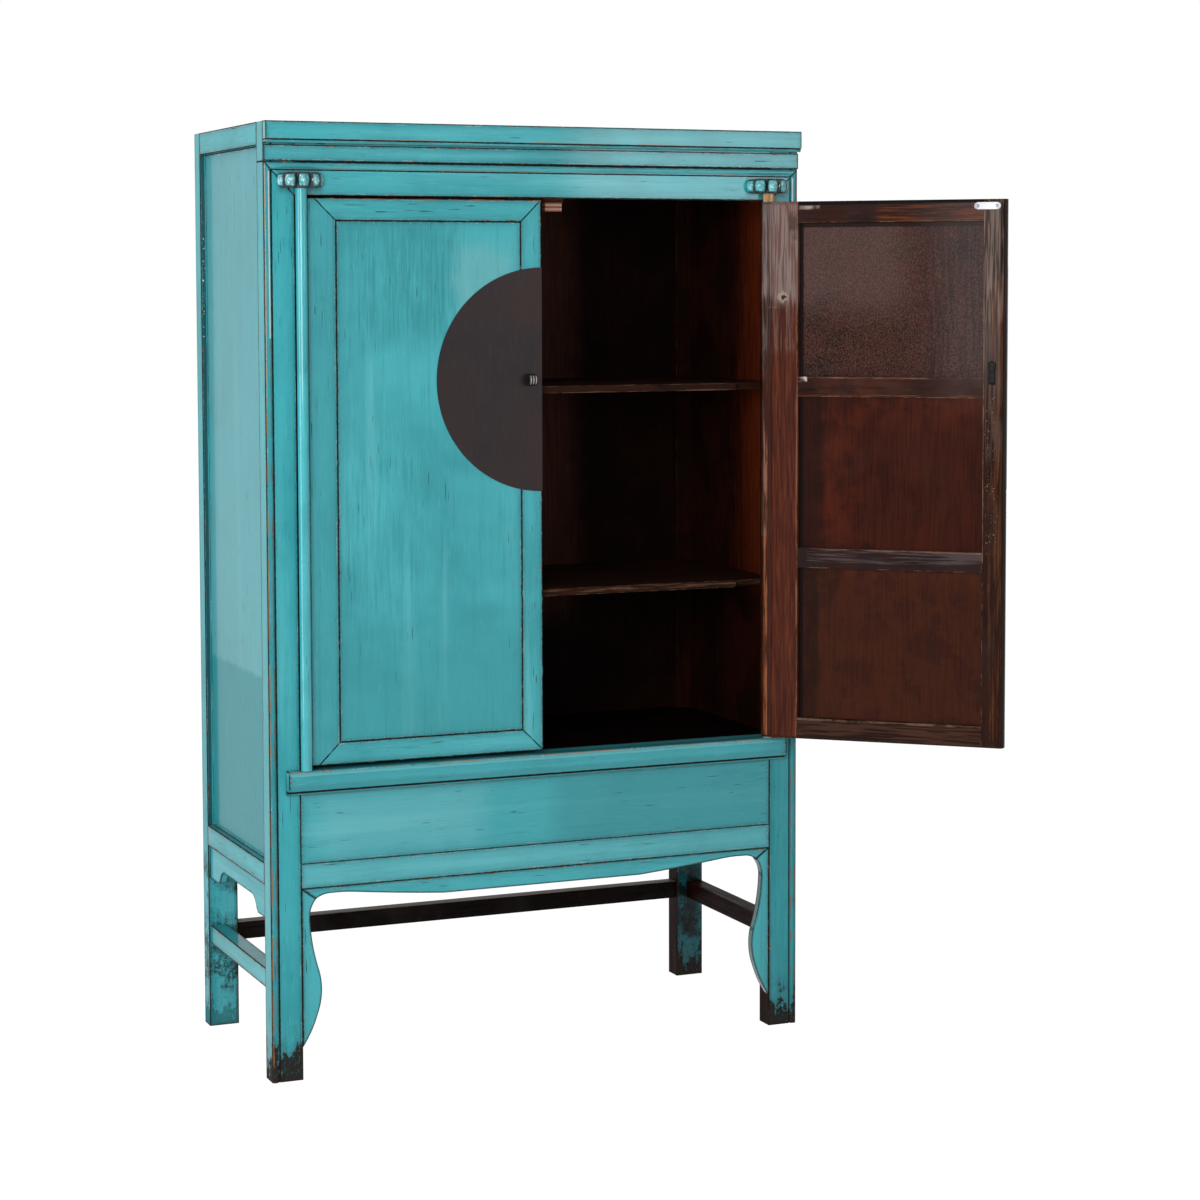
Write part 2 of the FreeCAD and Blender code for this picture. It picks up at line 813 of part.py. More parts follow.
def make_cornice():
    across = (-half_width, half_width)
    top = s.cabinet_height
    bottom = top - s.cap_height
    frieze_z = (head_rail_top + s.frieze_gap, bottom - s.frieze_shadow_gap)
    keep("cornice_frieze", block("cornice_frieze", across, (front - s.frieze_depth, front), frieze_z))
    lip = bottom + s.cap_lip_height
    face = front - s.cap_depth
    eased = s.cap_round * ROUND_SHARE
    section = [
        ("point", front, bottom),
        ("point", face + s.cap_lip_height, bottom),
        ("through", face + s.cap_lip_inset + ROUND_SHARE * s.cap_lip_inset, bottom + s.cap_lip_height * 0.4),
        ("point", face + s.cap_lip_inset, lip),
        ("point", face, lip + s.cap_lip_inset / 2),
        ("point", face, top - s.cap_round),
        ("through", face + eased, top - eased),
        ("point", face + s.cap_round, top),
        ("point", front, top),
    ]
    keep("cornice_cap", prism("cornice_cap", "YZ", section, across))


def make_sill_moulding():
    """Rounded moulding over the sill rail, with blind holes for the lower pins."""
    node = "sill_moulding"
    bottom = s.sill_rail_bottom
    top = sill_moulding_top
    face = pivot_y - s.sill_moulding_cover
    fillet_top = bottom + s.sill_fillet_height
    edge = s.sill_edge_setback
    fillet_face = front - s.sill_fillet_depth
    section = [
        ("point", front, bottom),
        ("point", fillet_face + edge, bottom),
        ("through", fillet_face + edge * ROUND_SHARE, bottom + edge * (1 - ROUND_SHARE)),
        ("point", fillet_face, fillet_top),
        ("point", face + edge, fillet_top),
        ("through", face, (fillet_top + top) / 2),
        ("point", face + edge / 2, top - edge / 2),
        ("through", face + edge * 0.7, top - edge * 0.15),
        ("point", face + edge, top),
        ("point", front, top),
    ]
    half_length = half_width - s.sill_moulding_end_inset
    blank = prism(f"{node}_blank", "YZ", section, (-half_length, half_length))
    depth = s.lower_pin_length + s.pin_end_gap
    holes = [
        rod(f"{node}_{name}_hole", side * pivot_x, pivot_y, (top - depth, top + s.overrun),
            s.lower_pin_radius + s.pin_clearance)
        for name, side in SIDES
    ]
    keep(node, cut(node, blank, holes))


# Panels and boards.

def front_tongue_y():
    start = front + s.front_panel_recess + s.front_panel_tongue_inset
    return start, start + s.front_panel_tongue


def front_tongue_z():
    return lower_front_rail_top - s.panel_groove, s.sill_rail_bottom + s.panel_groove


def make_lower_front_panel():
    node = "lower_front_panel"
    field_x = (-post_inner + s.fit_gap, post_inner - s.fit_gap)
    field_z = (lower_front_rail_top + s.fit_gap, s.sill_rail_bottom - s.fit_gap)
    start = front + s.front_panel_recess
    field = block(f"{node}_field", field_x, (start, start + s.front_panel_thickness), field_z)
    reach = s.panel_groove - s.fit_gap
    tongue_x = (-post_inner - reach, post_inner + reach)
    tongue_z = (lower_front_rail_top - reach, s.sill_rail_bottom + reach)
    tongue = block(f"{node}_tongue", tongue_x, front_tongue_y(), tongue_z)
    keep(node, fuse(node, [field, tongue]))


def make_side_panel(name, side):
    """Side panel in its grooves, housed on the inside for the boards that it carries."""
    node = f"{name}_side_panel"
    reach = post_back + s.panel_groove
    blank = block(
        f"{node}_blank", span(side, side_panel_inner, side_panel_outer), (-reach, reach), side_panel_z
    )
    housing_x = span(side, side_panel_inner - s.overrun, side_panel_inner + s.shelf_housing)
    housing_y = (-post_back, post_back)
    tools = [block(f"{node}_floor_housing", housing_x, housing_y, floor_board_z)]
    for shelf, top in SHELVES:
        tools.append(block(f"{node}_{shelf}_housing", housing_x, housing_y, shelf_z(top)))
    keep(node, cut(node, blank, tools))


def make_back_panel():
    reach = post_inner + s.panel_groove
    keep("back_panel", block(
        "back_panel", (-reach, reach), (back_panel_front, back_panel_back), back_panel_z
    ))


def make_end_boards():
    """Top board and base board, held in grooves all round and cut back at the posts."""
    wide = side_rail_inner + s.panel_groove
    narrow = post_inner
    deep = half_depth - s.rail_depth + s.panel_groove
    for node, limits in (("top_board", top_board_z), ("base_board", base_board_z)):
        across = block(f"{node}_across", (-wide, wide), (-post_back, post_back), limits)
        along = block(f"{node}_along", (-narrow, narrow), (-deep, deep), limits)
        keep(node, fuse(node, [across, along]))


def shelf_z(top):
    return top - s.shelf_thickness, top


def board_outline(front_half_width, front_y, notch_y):
    """Plan of a board between the side panels, cut back at the front and round the rear posts."""
    housed = side_panel_inner + s.shelf_housing
    rear_y = post_back - s.fit_gap
    right = [
        ("point", front_half_width, front_y),
        ("point", front_half_width, notch_y),
        ("point", housed, notch_y),
        ("point", housed, rear_y),
        ("point", post_inner - s.fit_gap, rear_y),
        ("point", post_inner - s.fit_gap, back_panel_front),
    ]
    return right + mirrored(right, -1)[::-1]


def make_inner_boards():
    floor_front = front + s.rail_depth - s.panel_groove
    floor_notch = -post_back + s.fit_gap
    outline = board_outline(post_inner - s.fit_gap, floor_front, floor_notch)
    keep("floor_board", prism("floor_board", "XY", outline, floor_board_z))
    outline = board_outline(
        side_panel_inner - s.shelf_corner_length, door_back_y + s.shelf_door_gap,
        -post_back + s.shelf_post_gap
    )
    for node, top in SHELVES:
        keep(node, prism(node, "XY", outline, shelf_z(top)))


# Aprons and leg brackets.

def apron_y():
    start = front + s.apron_recess
    return start, start + s.apron_thickness


def make_shaped_apron():
    """Cusped board under the lower front rail, mitred at both ends to the leg brackets."""
    top = s.lower_front_rail_bottom
    edge = from_shares(APRON_EDGE_SHARES, (0, top), post_inner, s.apron_height)
    right = [("point", post_inner, top)] + edge
    outline = right + mirrored(right, -1)[::-1]
    keep("shaped_apron", prism("shaped_apron", "XZ", outline, apron_y()))


def make_leg_bracket(name, side):
    """Slender curved bracket between the leg and the apron."""
    node = f"{name}_leg_bracket"
    top = s.lower_front_rail_bottom
    mitre = from_shares(APRON_EDGE_SHARES[:1], (0, top), post_inner, s.apron_height)
    drop = top - s.leg_bracket_toe
    edge = from_shares(LEG_BRACKET_SHARES, (post_inner, top), -s.leg_bracket_reach, drop)
    toe = ("point", post_inner, s.leg_bracket_toe)
    outline = [("point", post_inner, top)] + mitre + edge + [toe]
    keep(node, prism(node, "XZ", mirrored(outline, side), apron_y()))


def make_side_apron(name, side):
    """Board under the lower side rail, cut in an arch with a bracket at each end."""
    node = f"{name}_side_apron"
    top = lower_rail_bottom
    toe = ("point", post_back, top - s.side_apron_height)
    edge = from_shares(SIDE_APRON_SHARES, (0, top), post_back, s.side_apron_height)
    half = [("point", post_back, top), toe] + edge
    outline = half + mirrored(half, -1)[::-1]
    outer = half_width - s.side_apron_recess
    keep(node, prism(node, "YZ", outline, span(side, outer - s.apron_thickness, outer)))


# Carved pivot brackets.

def make_pivot_bracket(name, side):
    """Half oval block with five upright lobes, bored from below for the upper pin."""
    node = f"{name}_pivot_bracket"
    bottom = bracket_bottom
    top = bottom + s.bracket_height
    core_half = s.bracket_half_width - s.bracket_lobe_radius
    core_depth = s.bracket_depth - s.bracket_lobe_radius
    centre = side * pivot_x
    outline = [
        ("point", centre + core_half, front),
        ("point", centre - core_half, front),
        ("through", centre - core_half * 0.75, front - core_depth * 0.66),
        ("point", centre, front - core_depth),
        ("through", centre + core_half * 0.75, front - core_depth * 0.66),
    ]
    pieces = [prism(f"{node}_core", "XY", outline, (bottom, top))]
    middle = (bottom + top) / 2
    for index, share in enumerate(BRACKET_LOBE_SHARES, start=1):
        lobe = turned(f"{node}_lobe_{index}", [
            ("point", 0, bottom),
            ("point", s.bracket_lobe_end_radius, bottom),
            ("through", s.bracket_lobe_radius, middle),
            ("point", s.bracket_lobe_end_radius, top),
            ("point", 0, top),
        ])
        angle = f"({share} * 180 deg)"
        along = f"({formula_of(centre)} - {core_half.formula} * cos({angle}))"
        outward = f"({front.formula} - {core_depth.formula} * sin({angle}))"
        lobe.setExpression("Placement.Base.x", along)
        lobe.setExpression("Placement.Base.y", outward)
        pieces.append(lobe)
    whole = fuse(f"{node}_whole", pieces)
    reach = s.bracket_half_width + s.overrun
    behind = block(
        f"{node}_behind", (centre - reach, centre + reach), (front, front + s.post_depth),
        (bottom - s.overrun, top + s.overrun)
    )
    hole_top = bottom + s.upper_pin_length + s.pin_end_gap
    hole = rod(
        f"{node}_hole", centre, pivot_y, (bottom - s.overrun, hole_top),
        s.upper_pin_radius + s.pin_clearance
    )
    keep(node, cut(node, whole, [behind, hole]))


def make_catch(name, side):
    """Magnetic catch on its packing block, behind the free top corner of a door."""
    node = f"{name}_magnetic_catch"
    top = head_rail_bottom
    centre = side * (pivot_x - (strike_near + strike_far) / 2)
    catch_front = door_back_y + s.catch_door_gap
    catch_top = top - s.catch_block_height
    catch_bottom = catch_top - s.catch_height
    half = s.catch_width / 2
    block_half = half + s.catch_block_side
    back = catch_front + s.catch_depth
    packing = block(
        f"{node}_packing", (centre - block_half, centre + block_half),
        (catch_front + s.catch_slot_depth, back + s.catch_block_side), (catch_top, top)
    )
    housing = block(
        f"{node}_housing", (centre - half, centre + half),
        (catch_front, back), (catch_bottom, catch_top)
    )
    whole = fuse(f"{node}_whole", [packing, housing])
    slot_x = (centre - half + s.catch_slot_margin, centre + half - s.catch_slot_margin)
    slot_y = (catch_front - s.overrun, catch_front + s.catch_slot_depth)
    middle = (catch_bottom + catch_top) / 2
    slots = []
    for level, height in (("low", middle - s.catch_slot_margin), ("high", middle + s.catch_slot_margin)):
        slot_z = (height - s.catch_slot_height / 2, height + s.catch_slot_height / 2)
        slots.append(block(f"{node}_{level}_slot", slot_x, slot_y, slot_z))
    keep(node, cut(node, whole, slots))


# Doors. A door is drawn about its pivot axis: hand is 1 for the left door, which reaches to +X.

def door_span(hand, near, far):
    return (near, far) if hand > 0 else (-far, -near)


def hang(piece, side, opening):
    """Stand a door piece on its pivot, turned by the opening angle."""
    piece.setExpression("Placement.Base.x", (side * pivot_x).formula)
    piece.setExpression("Placement.Base.y", pivot_y.formula)
    if isinstance(opening, Size):
        piece.Placement.Rotation = FreeCAD.Rotation(FreeCAD.Vector(0, 0, 1), opening.value)
        piece.setExpression("Placement.Rotation.Angle", opening.formula)


def door_mitre(label, hand, hinge_side, upper):
    """Front lip of a door rail where it is mitred over a stile."""
    if hinge_side:
        inner = hinge_stile_inner
        outer = inner - s.door_rail_height
    else:
        inner = meeting_stile_inner
        outer = door_reach
    inner_z = door_panel_top if upper else door_panel_bottom
    outer_z = door_top if upper else door_bottom
    outline = mirrored([
        ("point", inner, inner_z),
        ("point", outer, outer_z),
        ("point", inner, outer_z),
    ], hand)
    return prism(label, "XZ", outline, (door_front, door_front + s.door_mitre_depth))


def door_tenon_limits(hand, hinge_side, upper):
    if hinge_side:
        x = door_span(hand, hinge_stile_inner - s.hinge_tenon_length, hinge_stile_inner)
    else:
        x = door_span(hand, meeting_stile_inner, meeting_stile_inner + s.meeting_tenon_length)
    start = door_front + s.door_tenon_inset
    low = door_panel_top if upper else door_bottom
    high = door_top if upper else door_panel_bottom
    shoulder = s.door_panel_groove + s.fit_gap
    z = (low + shoulder, high - shoulder)
    return x, (start, start + s.door_tenon_thickness), z


def panel_space(label, hand):
    """The groove that runs round the inside of the door frame."""
    depth = s.door_panel_groove
    start = door_front + s.door_panel_tongue_inset
    return block(
        label, door_span(hand, hinge_stile_inner - depth, meeting_stile_inner + depth),
        (start, start + s.door_panel_tongue), (door_panel_bottom - depth, door_panel_top + depth)
    )


def chamfer_strips(label, hand):
    """Wedges that ease the top and bottom back edges of a door."""
    ease = s.door_edge_chamfer
    x = door_span(hand, -s.hinge_stile_width, door_reach + s.overrun)
    strips = []
    for name, edge, inward in (("top", door_top, -1), ("bottom", door_bottom, 1)):
        outline = [
            ("point", door_back - ease, edge),
            ("point", door_back + s.overrun, edge),
            ("point", door_back + s.overrun, edge + inward * (ease + s.overrun)),
        ]
        strips.append(prism(f"{label}_{name}", "YZ", outline, x))
    return strips


def make_pivot_post(door, side, opening):
    """Round post on the face of the hinge stile, flattened to seat there, with a pin at each end."""
    node = f"{door}_pivot_post"
    bottom = sill_moulding_top + s.shoulder_gap
    top = bracket_bottom - s.shoulder_gap
    barrel = rod(f"{node}_barrel", 0, 0, (bottom, top), s.pivot_post_radius)
    behind = s.pivot_post_radius + s.overrun
    seat = block(f"{node}_seat", (-behind, behind), (door_front, behind), (bottom, top))
    whittled = block(
        f"{node}_whittled", (-behind, behind), (s.pivot_whittle, behind),
        (door_top + s.fit_gap, top)
    )
    shaft = cut(f"{node}_shaft", barrel, [seat, whittled])
    lower_z = (sill_moulding_top - s.lower_pin_length, bottom)
    lower = rod(f"{node}_lower_pin", 0, 0, lower_z, s.lower_pin_radius)
    upper_z = (top, bracket_bottom + s.upper_pin_length)
    upper = rod(f"{node}_upper_pin", 0, 0, upper_z, s.upper_pin_radius)
    hang(keep(node, fuse(node, [shaft, lower, upper])), side, opening)


def make_hinge_stile(door, side, hand, opening, shared):
    """Wide stile, rounded and grooved along its outer back edge."""
    node = f"{door}_hinge_stile"
    outer = -s.hinge_stile_overhang
    ease = s.stile_back_round
    groove = outer + s.stile_back_groove_place
    outline = mirrored([
        ("point", outer, door_front),
        ("point", hinge_stile_inner, door_front),
        ("point", hinge_stile_inner, door_back),
        ("point", groove + s.stile_back_groove, door_back),
        ("point", groove + s.stile_back_groove / 2, door_back - s.stile_back_groove_depth),
        ("point", groove, door_back),
        ("point", outer + ease, door_back),
        ("through", outer + ease * ROUND_SHARE, door_back - ease * ROUND_SHARE),
        ("point", outer, door_back - ease),
    ], hand)
    blank = prism(f"{node}_blank", "XY", outline, (door_bottom, door_top))
    tools = [shared["space"], shared["hinge_upper_mitre"], shared["hinge_lower_mitre"]]
    tools += shared["chamfers"]
    for name, upper in (("upper", True), ("lower", False)):
        tools.append(mortise(f"{node}_{name}_mortise", door_tenon_limits(hand, True, upper)))
    hang(keep(node, cut(node, blank, tools)), side, opening)


def staple_shank(label, hand):
    """Shank of the lock staple, from the moon plate through the meeting stile."""
    centre = pivot_x - s.staple_inset
    half = s.staple_shank_width / 2
    return block(
        label, door_span(hand, centre - half, centre + half),
        (door_front - s.moon_thickness, door_back + s.staple_tail_thickness),
        (moon_height - s.staple_shank_height / 2, moon_height + s.staple_shank_height / 2)
    )


def make_meeting_stile(door, side, hand, opening, shared):
    """Narrow stile, bevelled at its back so that the doors clear each other as they swing."""
    node = f"{door}_meeting_stile"
    bevel_foot = door_back - s.door_edge_chamfer
    outline = mirrored([
        ("point", meeting_stile_inner, door_front),
        ("point", door_reach, door_front),
        ("point", door_reach, door_front + s.meeting_edge_square),
        ("point", door_reach - s.meeting_edge_bevel, bevel_foot),
        ("point", door_reach - s.meeting_edge_bevel - s.door_edge_chamfer, door_back),
        ("point", meeting_stile_inner, door_back),
    ], hand)
    blank = prism(f"{node}_blank", "XY", outline, (door_bottom, door_top))
    tools = [shared["space"], shared["meeting_upper_mitre"], shared["meeting_lower_mitre"]]
    tools += shared["chamfers"]
    for name, upper in (("upper", True), ("lower", False)):
        tools.append(mortise(f"{node}_{name}_mortise", door_tenon_limits(hand, False, upper)))
    tools.append(staple_shank(f"{node}_shank_hole", hand))
    hang(keep(node, cut(node, blank, tools)), side, opening)


def make_door_rail(door, side, hand, opening, shared, upper):
    """Door rail with front lips mitred over the stiles and tenons behind them."""
    level = "top" if upper else "bottom"
    end = "upper" if upper else "lower"
    node = f"{door}_{level}_rail"
    z = (door_panel_top, door_top) if upper else (door_bottom, door_panel_bottom)
    x = door_span(hand, hinge_stile_inner, meeting_stile_inner)
    pieces = [block(f"{node}_blank", x, (door_front, door_back), z)]
    pieces += [shared[f"hinge_{end}_mitre"], shared[f"meeting_{end}_mitre"]]
    for name, hinge_side in (("hinge", True), ("meeting", False)):
        pieces.append(block(f"{node}_{name}_tenon", *door_tenon_limits(hand, hinge_side, upper)))
    whole = fuse(f"{node}_whole", pieces)
    tools = [shared["space"]] + shared["chamfers"]
    hang(keep(node, cut(node, whole, tools)), side, opening)


def batten_outline(centre, play):
    """Section of a batten, dovetailed into the back of the panel."""
    half = s.batten_height / 2
    seat = door_front + s.door_panel_thickness
    neck = half - s.batten_flare + play
    foot = half + play
    root = seat - s.batten_dovetail - play
    return [
        ("point", root, centre - foot),
        ("point", seat, centre - neck),
        ("point", seat, centre - half),
        ("point", door_back, centre - half),
        ("point", door_back, centre + half),
        ("point", seat, centre + half),
        ("point", seat, centre + neck),
        ("point", root, centre + foot),
    ]


def make_door_panel(door, side, hand, opening):
    """Flush panel with a tongue all round and dovetail housings for the battens."""
    node = f"{door}_panel"
    play = s.door_panel_play
    x = door_span(hand, hinge_stile_inner + play, meeting_stile_inner - play)
    z = (door_panel_bottom + play, door_panel_top - play)
    field = block(f"{node}_field", x, (door_front, door_front + s.door_panel_thickness), z)
    reach = s.door_panel_groove - play
    tongue_x = door_span(hand, hinge_stile_inner - reach, meeting_stile_inner + reach)
    start = door_front + s.door_panel_tongue_inset
    tongue = block(
        f"{node}_tongue", tongue_x, (start, start + s.door_panel_tongue),
        (door_panel_bottom - reach, door_panel_top + reach)
    )
    whole = fuse(f"{node}_whole", [field, tongue])
    tools = []
    for name, centre in BATTENS:
        outline = batten_outline(centre, s.joint_play)
        tools.append(prism(f"{node}_{name}_housing", "YZ", outline, x))
    hang(keep(node, cut(node, whole, tools)), side, opening)


def make_battens(door, side, hand, opening):
    play = s.door_panel_play
    x = door_span(hand, hinge_stile_inner + play, meeting_stile_inner - play)
    for name, centre in BATTENS:
        node = f"{door}_{name}_batten"
        outline = batten_outline(centre, 0)
        hang(keep(node, prism(node, "YZ", outline, x)), side, opening)


def make_moon_plate(door, side, hand, opening):
    """Half of the round lock plate, on the front of the door at its free edge."""
    node = f"{door}_moon_plate"
    outline = mirrored([
        ("point", door_reach, moon_height - s.moon_radius),
        ("point", door_reach, moon_height + s.moon_radius),
        ("through", pivot_x - s.moon_radius, moon_height),
    ], hand)
    limits = (door_front - s.moon_thickness, door_front)
    blank = prism(f"{node}_blank", "XZ", outline, limits)
    hang(keep(node, cut(node, blank, [staple_shank(f"{node}_shank_hole", hand)])), side, opening)


def staple_tail(label, hand, direction, length):
    """Flattened tail of the staple, bent up or down behind the door, with a round end."""
    centre = pivot_x - s.staple_inset
    half = s.staple_tail_width / 2
    end = moon_height + direction * length
    outline = mirrored([
        ("point", centre + half, moon_height),
        ("point", centre + half, end),
        ("through", centre, end + direction * half),
        ("point", centre - half, end),
        ("point", centre - half, moon_height),
    ], hand)
    return prism(label, "XZ", outline, (door_back, door_back + s.staple_tail_thickness))


def make_lock_staple(door, side, hand, opening):
    """Eye that stands out from the moon plate, of three leaves, clinched behind the stile."""
    node = f"{door}_lock_staple"
    centre = pivot_x - s.staple_inset
    plate = door_front - s.moon_thickness
    nose = plate - s.staple_reach + s.staple_half_height
    middle = moon_height
    outline = [
        ("point", plate, middle - s.staple_half_height),
        ("point", plate, middle + s.staple_half_height),
        ("point", nose, middle + s.staple_half_height),
        ("through", plate - s.staple_reach, middle),
        ("point", nose, middle - s.staple_half_height),
    ]
    half = s.staple_width / 2
    eye = prism(f"{node}_eye", "YZ", outline, door_span(hand, centre - half, centre + half))
    start = (hand * centre - half - s.overrun, nose, middle)
    tools = [cross_rod(f"{node}_hole", "x", start, s.staple_width + 2 * s.overrun, s.staple_eye_radius)]
    for name, offset in (("near", -1), ("far", 1)):
        slot_centre = hand * centre + offset * s.staple_width / 6
        slot_x = (slot_centre - s.staple_leaf_slot / 2, slot_centre + s.staple_leaf_slot / 2)
        slot_y = (plate - s.staple_reach - s.overrun, plate - s.staple_reach + s.staple_leaf_slot_depth)
        slot_z = (middle - s.staple_half_height, middle + s.staple_half_height)
        tools.append(block(f"{node}_{name}_slot", slot_x, slot_y, slot_z))
    shaped = cut(f"{node}_shaped", eye, tools)
    tails = [
        staple_tail(f"{node}_upper_tail", hand, 1, s.staple_tail_length),
        staple_tail(f"{node}_lower_tail", hand, -1, s.staple_shank_height),
    ]
    hang(keep(node, fuse(node, [shaped, staple_shank(f"{node}_shank", hand)] + tails)), side, opening)


def make_strike_plate(door, side, hand, opening):
    """Round-ended steel plate behind the free top corner, held by two screws."""
    node = f"{door}_strike_plate"
    near = strike_near
    far = strike_far
    half = s.strike_height / 2
    middle = door_top - s.strike_drop
    outline = mirrored([
        ("point", near + half, middle - half),
        ("point", far - half, middle - half),
        ("through", far, middle),
        ("point", far - half, middle + half),
        ("point", near + half, middle + half),
        ("through", near, middle),
    ], hand)
    pieces = [prism(f"{node}_plate", "XZ", outline, (door_back, door_back + s.strike_thickness))]
    for name, place in (("near", near + s.screw_inset), ("far", far - s.screw_inset)):
        start = (hand * place, door_back, middle)
        length = s.strike_thickness + s.screw_rise
        pieces.append(cross_rod(f"{node}_{name}_screw", "y", start, length, s.screw_radius))
    hang(keep(node, fuse(node, pieces)), side, opening)


def make_door(name, side, opening):
    """One door: pivot post, mitred frame, panel with battens, and metal fittings."""
    door = f"{name}_door"
    hand = -side
    shared = {"space": panel_space(f"{door}_space", hand), "chamfers": chamfer_strips(f"{door}_ease", hand)}
    for stile, hinge_side in (("hinge", True), ("meeting", False)):
        for end, upper in (("upper", True), ("lower", False)):
            key = f"{stile}_{end}_mitre"
            shared[key] = door_mitre(f"{door}_{key}", hand, hinge_side, upper)
    make_pivot_post(door, side, opening)
    make_hinge_stile(door, side, hand, opening, shared)
    make_meeting_stile(door, side, hand, opening, shared)
    make_door_rail(door, side, hand, opening, shared, True)
    make_door_rail(door, side, hand, opening, shared, False)
    make_door_panel(door, side, hand, opening)
    make_battens(door, side, hand, opening)
    make_moon_plate(door, side, hand, opening)
    make_lock_staple(door, side, hand, opening)
    make_strike_plate(door, side, hand, opening)


def build_cabinet():
    """Build every piece of the cabinet."""
    for name, side in SIDES:
        make_front_post(name, side)
        make_rear_post(name, side)
        make_side_rail(f"{name}_top_rail", side, top_side_rail_z, side_panel_z, top_board_z)
        make_side_rail(f"{name}_lower_rail", side, lower_rail_z, side_panel_z, base_board_z)
        make_side_stretcher(name, side)
        make_side_panel(name, side)
        make_side_apron(name, side)
        make_leg_bracket(name, side)
        make_pivot_bracket(name, side)
        make_catch(name, side)
    make_head_rail()
    make_upper_front_rail()
    make_sill_rail()
    make_lower_front_rail()
    make_rear_rails()
    make_rear_stretcher()
    make_cornice()
    make_sill_moulding()
    make_lower_front_panel()
    make_back_panel()
    make_end_boards()
    make_inner_boards()
    make_shaped_apron()
    make_door("left", -1, 0)
    make_door("right", 1, s.right_door_angle)


def check_document():
    """Stop if any object failed, or any piece is empty or invalid."""
    for item in doc.Objects:
        failed = [state for state in item.State if state in ("Invalid", "Error")]
        if failed:
            raise RuntimeError(f"{item.Label} is {failed}")
    for node, piece in parts.items():
        shape = piece.Shape
        if shape.isNull() or not shape.isValid() or len(shape.Solids) != 1:
            raise RuntimeError(f"{node} has no single valid solid")


def export_parts():
    os.makedirs("parts", exist_ok=True)
    for node, piece in parts.items():
        piece.Shape.exportStep(os.path.join("parts", f"{node}.step"))
    print(f"{len(parts)} pieces written")


build_cabinet()
doc.recompute()
check_document()
export_parts()
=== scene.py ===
"""Chinese wedding cabinet in turquoise lacquer: looks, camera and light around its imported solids."""

import json
import logging
import math
from dataclasses import dataclass, replace
from enum import Enum
from typing import Optional, Sequence, Union

import bmesh
import bpy
import numpy as np
from mathutils import Matrix, Vector

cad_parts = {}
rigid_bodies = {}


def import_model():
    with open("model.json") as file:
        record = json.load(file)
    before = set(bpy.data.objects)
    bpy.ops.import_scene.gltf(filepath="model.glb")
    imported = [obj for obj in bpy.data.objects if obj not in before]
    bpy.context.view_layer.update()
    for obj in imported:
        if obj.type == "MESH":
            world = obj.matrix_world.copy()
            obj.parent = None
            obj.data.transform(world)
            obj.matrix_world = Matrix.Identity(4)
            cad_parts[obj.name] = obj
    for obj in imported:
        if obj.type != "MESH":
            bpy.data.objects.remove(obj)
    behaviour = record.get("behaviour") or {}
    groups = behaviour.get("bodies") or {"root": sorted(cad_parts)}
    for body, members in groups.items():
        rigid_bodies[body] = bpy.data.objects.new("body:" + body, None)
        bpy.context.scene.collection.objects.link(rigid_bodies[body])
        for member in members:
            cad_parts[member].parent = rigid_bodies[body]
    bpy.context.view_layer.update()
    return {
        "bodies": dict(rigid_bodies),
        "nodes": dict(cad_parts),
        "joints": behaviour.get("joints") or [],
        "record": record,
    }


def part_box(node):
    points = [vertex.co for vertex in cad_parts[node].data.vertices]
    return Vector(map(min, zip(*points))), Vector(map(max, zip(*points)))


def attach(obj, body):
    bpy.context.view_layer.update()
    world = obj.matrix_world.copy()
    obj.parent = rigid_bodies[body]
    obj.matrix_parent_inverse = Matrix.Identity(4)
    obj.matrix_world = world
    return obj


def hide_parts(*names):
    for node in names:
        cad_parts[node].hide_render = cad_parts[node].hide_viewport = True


LOG = logging.getLogger("wedding_cabinet")
MM = 0.001
ANYWHERE = (-9000.0, 9000.0)
PIVOT = (0.481, -0.258)

Colour = tuple[float, float, float]
Point = tuple[float, float, float]
Bounds = tuple[Point, Point]


def srgb(red: int, green: int, blue: int) -> Colour:
    """Turn a screen colour into the linear one that shaders use.

    Args:
        red: Red from 0 to 255.
        green: Green from 0 to 255.
        blue: Blue from 0 to 255.

    Returns:
        The linear colour, each channel c as ((c + 0.055) / 1.055) ** 2.4, or c / 12.92 near black.
    """
    shares = [channel / 255.0 for channel in (red, green, blue)]
    return tuple(c / 12.92 if c < 0.0405 else ((c + 0.055) / 1.055) ** 2.4 for c in shares)


def side_name(side: int) -> str:
    """left for -1 and right for 1."""
    return "left" if side < 0 else "right"


def sorted_pair(side: int, low: float, high: float) -> tuple[float, float]:
    """A range on the right, or the same on the left with its ends in order."""
    return tuple(sorted((side * low, side * high)))


def span(x: tuple, y: tuple, z: tuple) -> Bounds:
    """Limits given in millimetres, from and to along each axis."""
    return tuple(v[0] * MM for v in (x, y, z)), tuple(v[1] * MM for v in (x, y, z))


def sided(side: int, x: tuple, y: tuple, z: tuple) -> Bounds:
    """Limits on the left or right side, from those on the right, in millimetres."""
    return span(sorted_pair(side, *x), y, z)


def full_turn(count: int) -> np.ndarray:
    """Angles evenly spread round a full turn, from 0."""
    return np.linspace(0.0, 2.0 * math.pi, count, endpoint=False)


class Grain(Enum):
    """The axis that a piece's wood grain and brush marks follow."""

    ACROSS = 0
    DEEP = 1
    UPRIGHT = 2


class Pattern(Enum):
    """What breaks a mark up."""

    SOLID = "solid"
    CLOUD = "cloud"
    STREAK = "streak"
    COMB = "comb"
    SPECK = "speck"
    STIPPLE = "stipple"


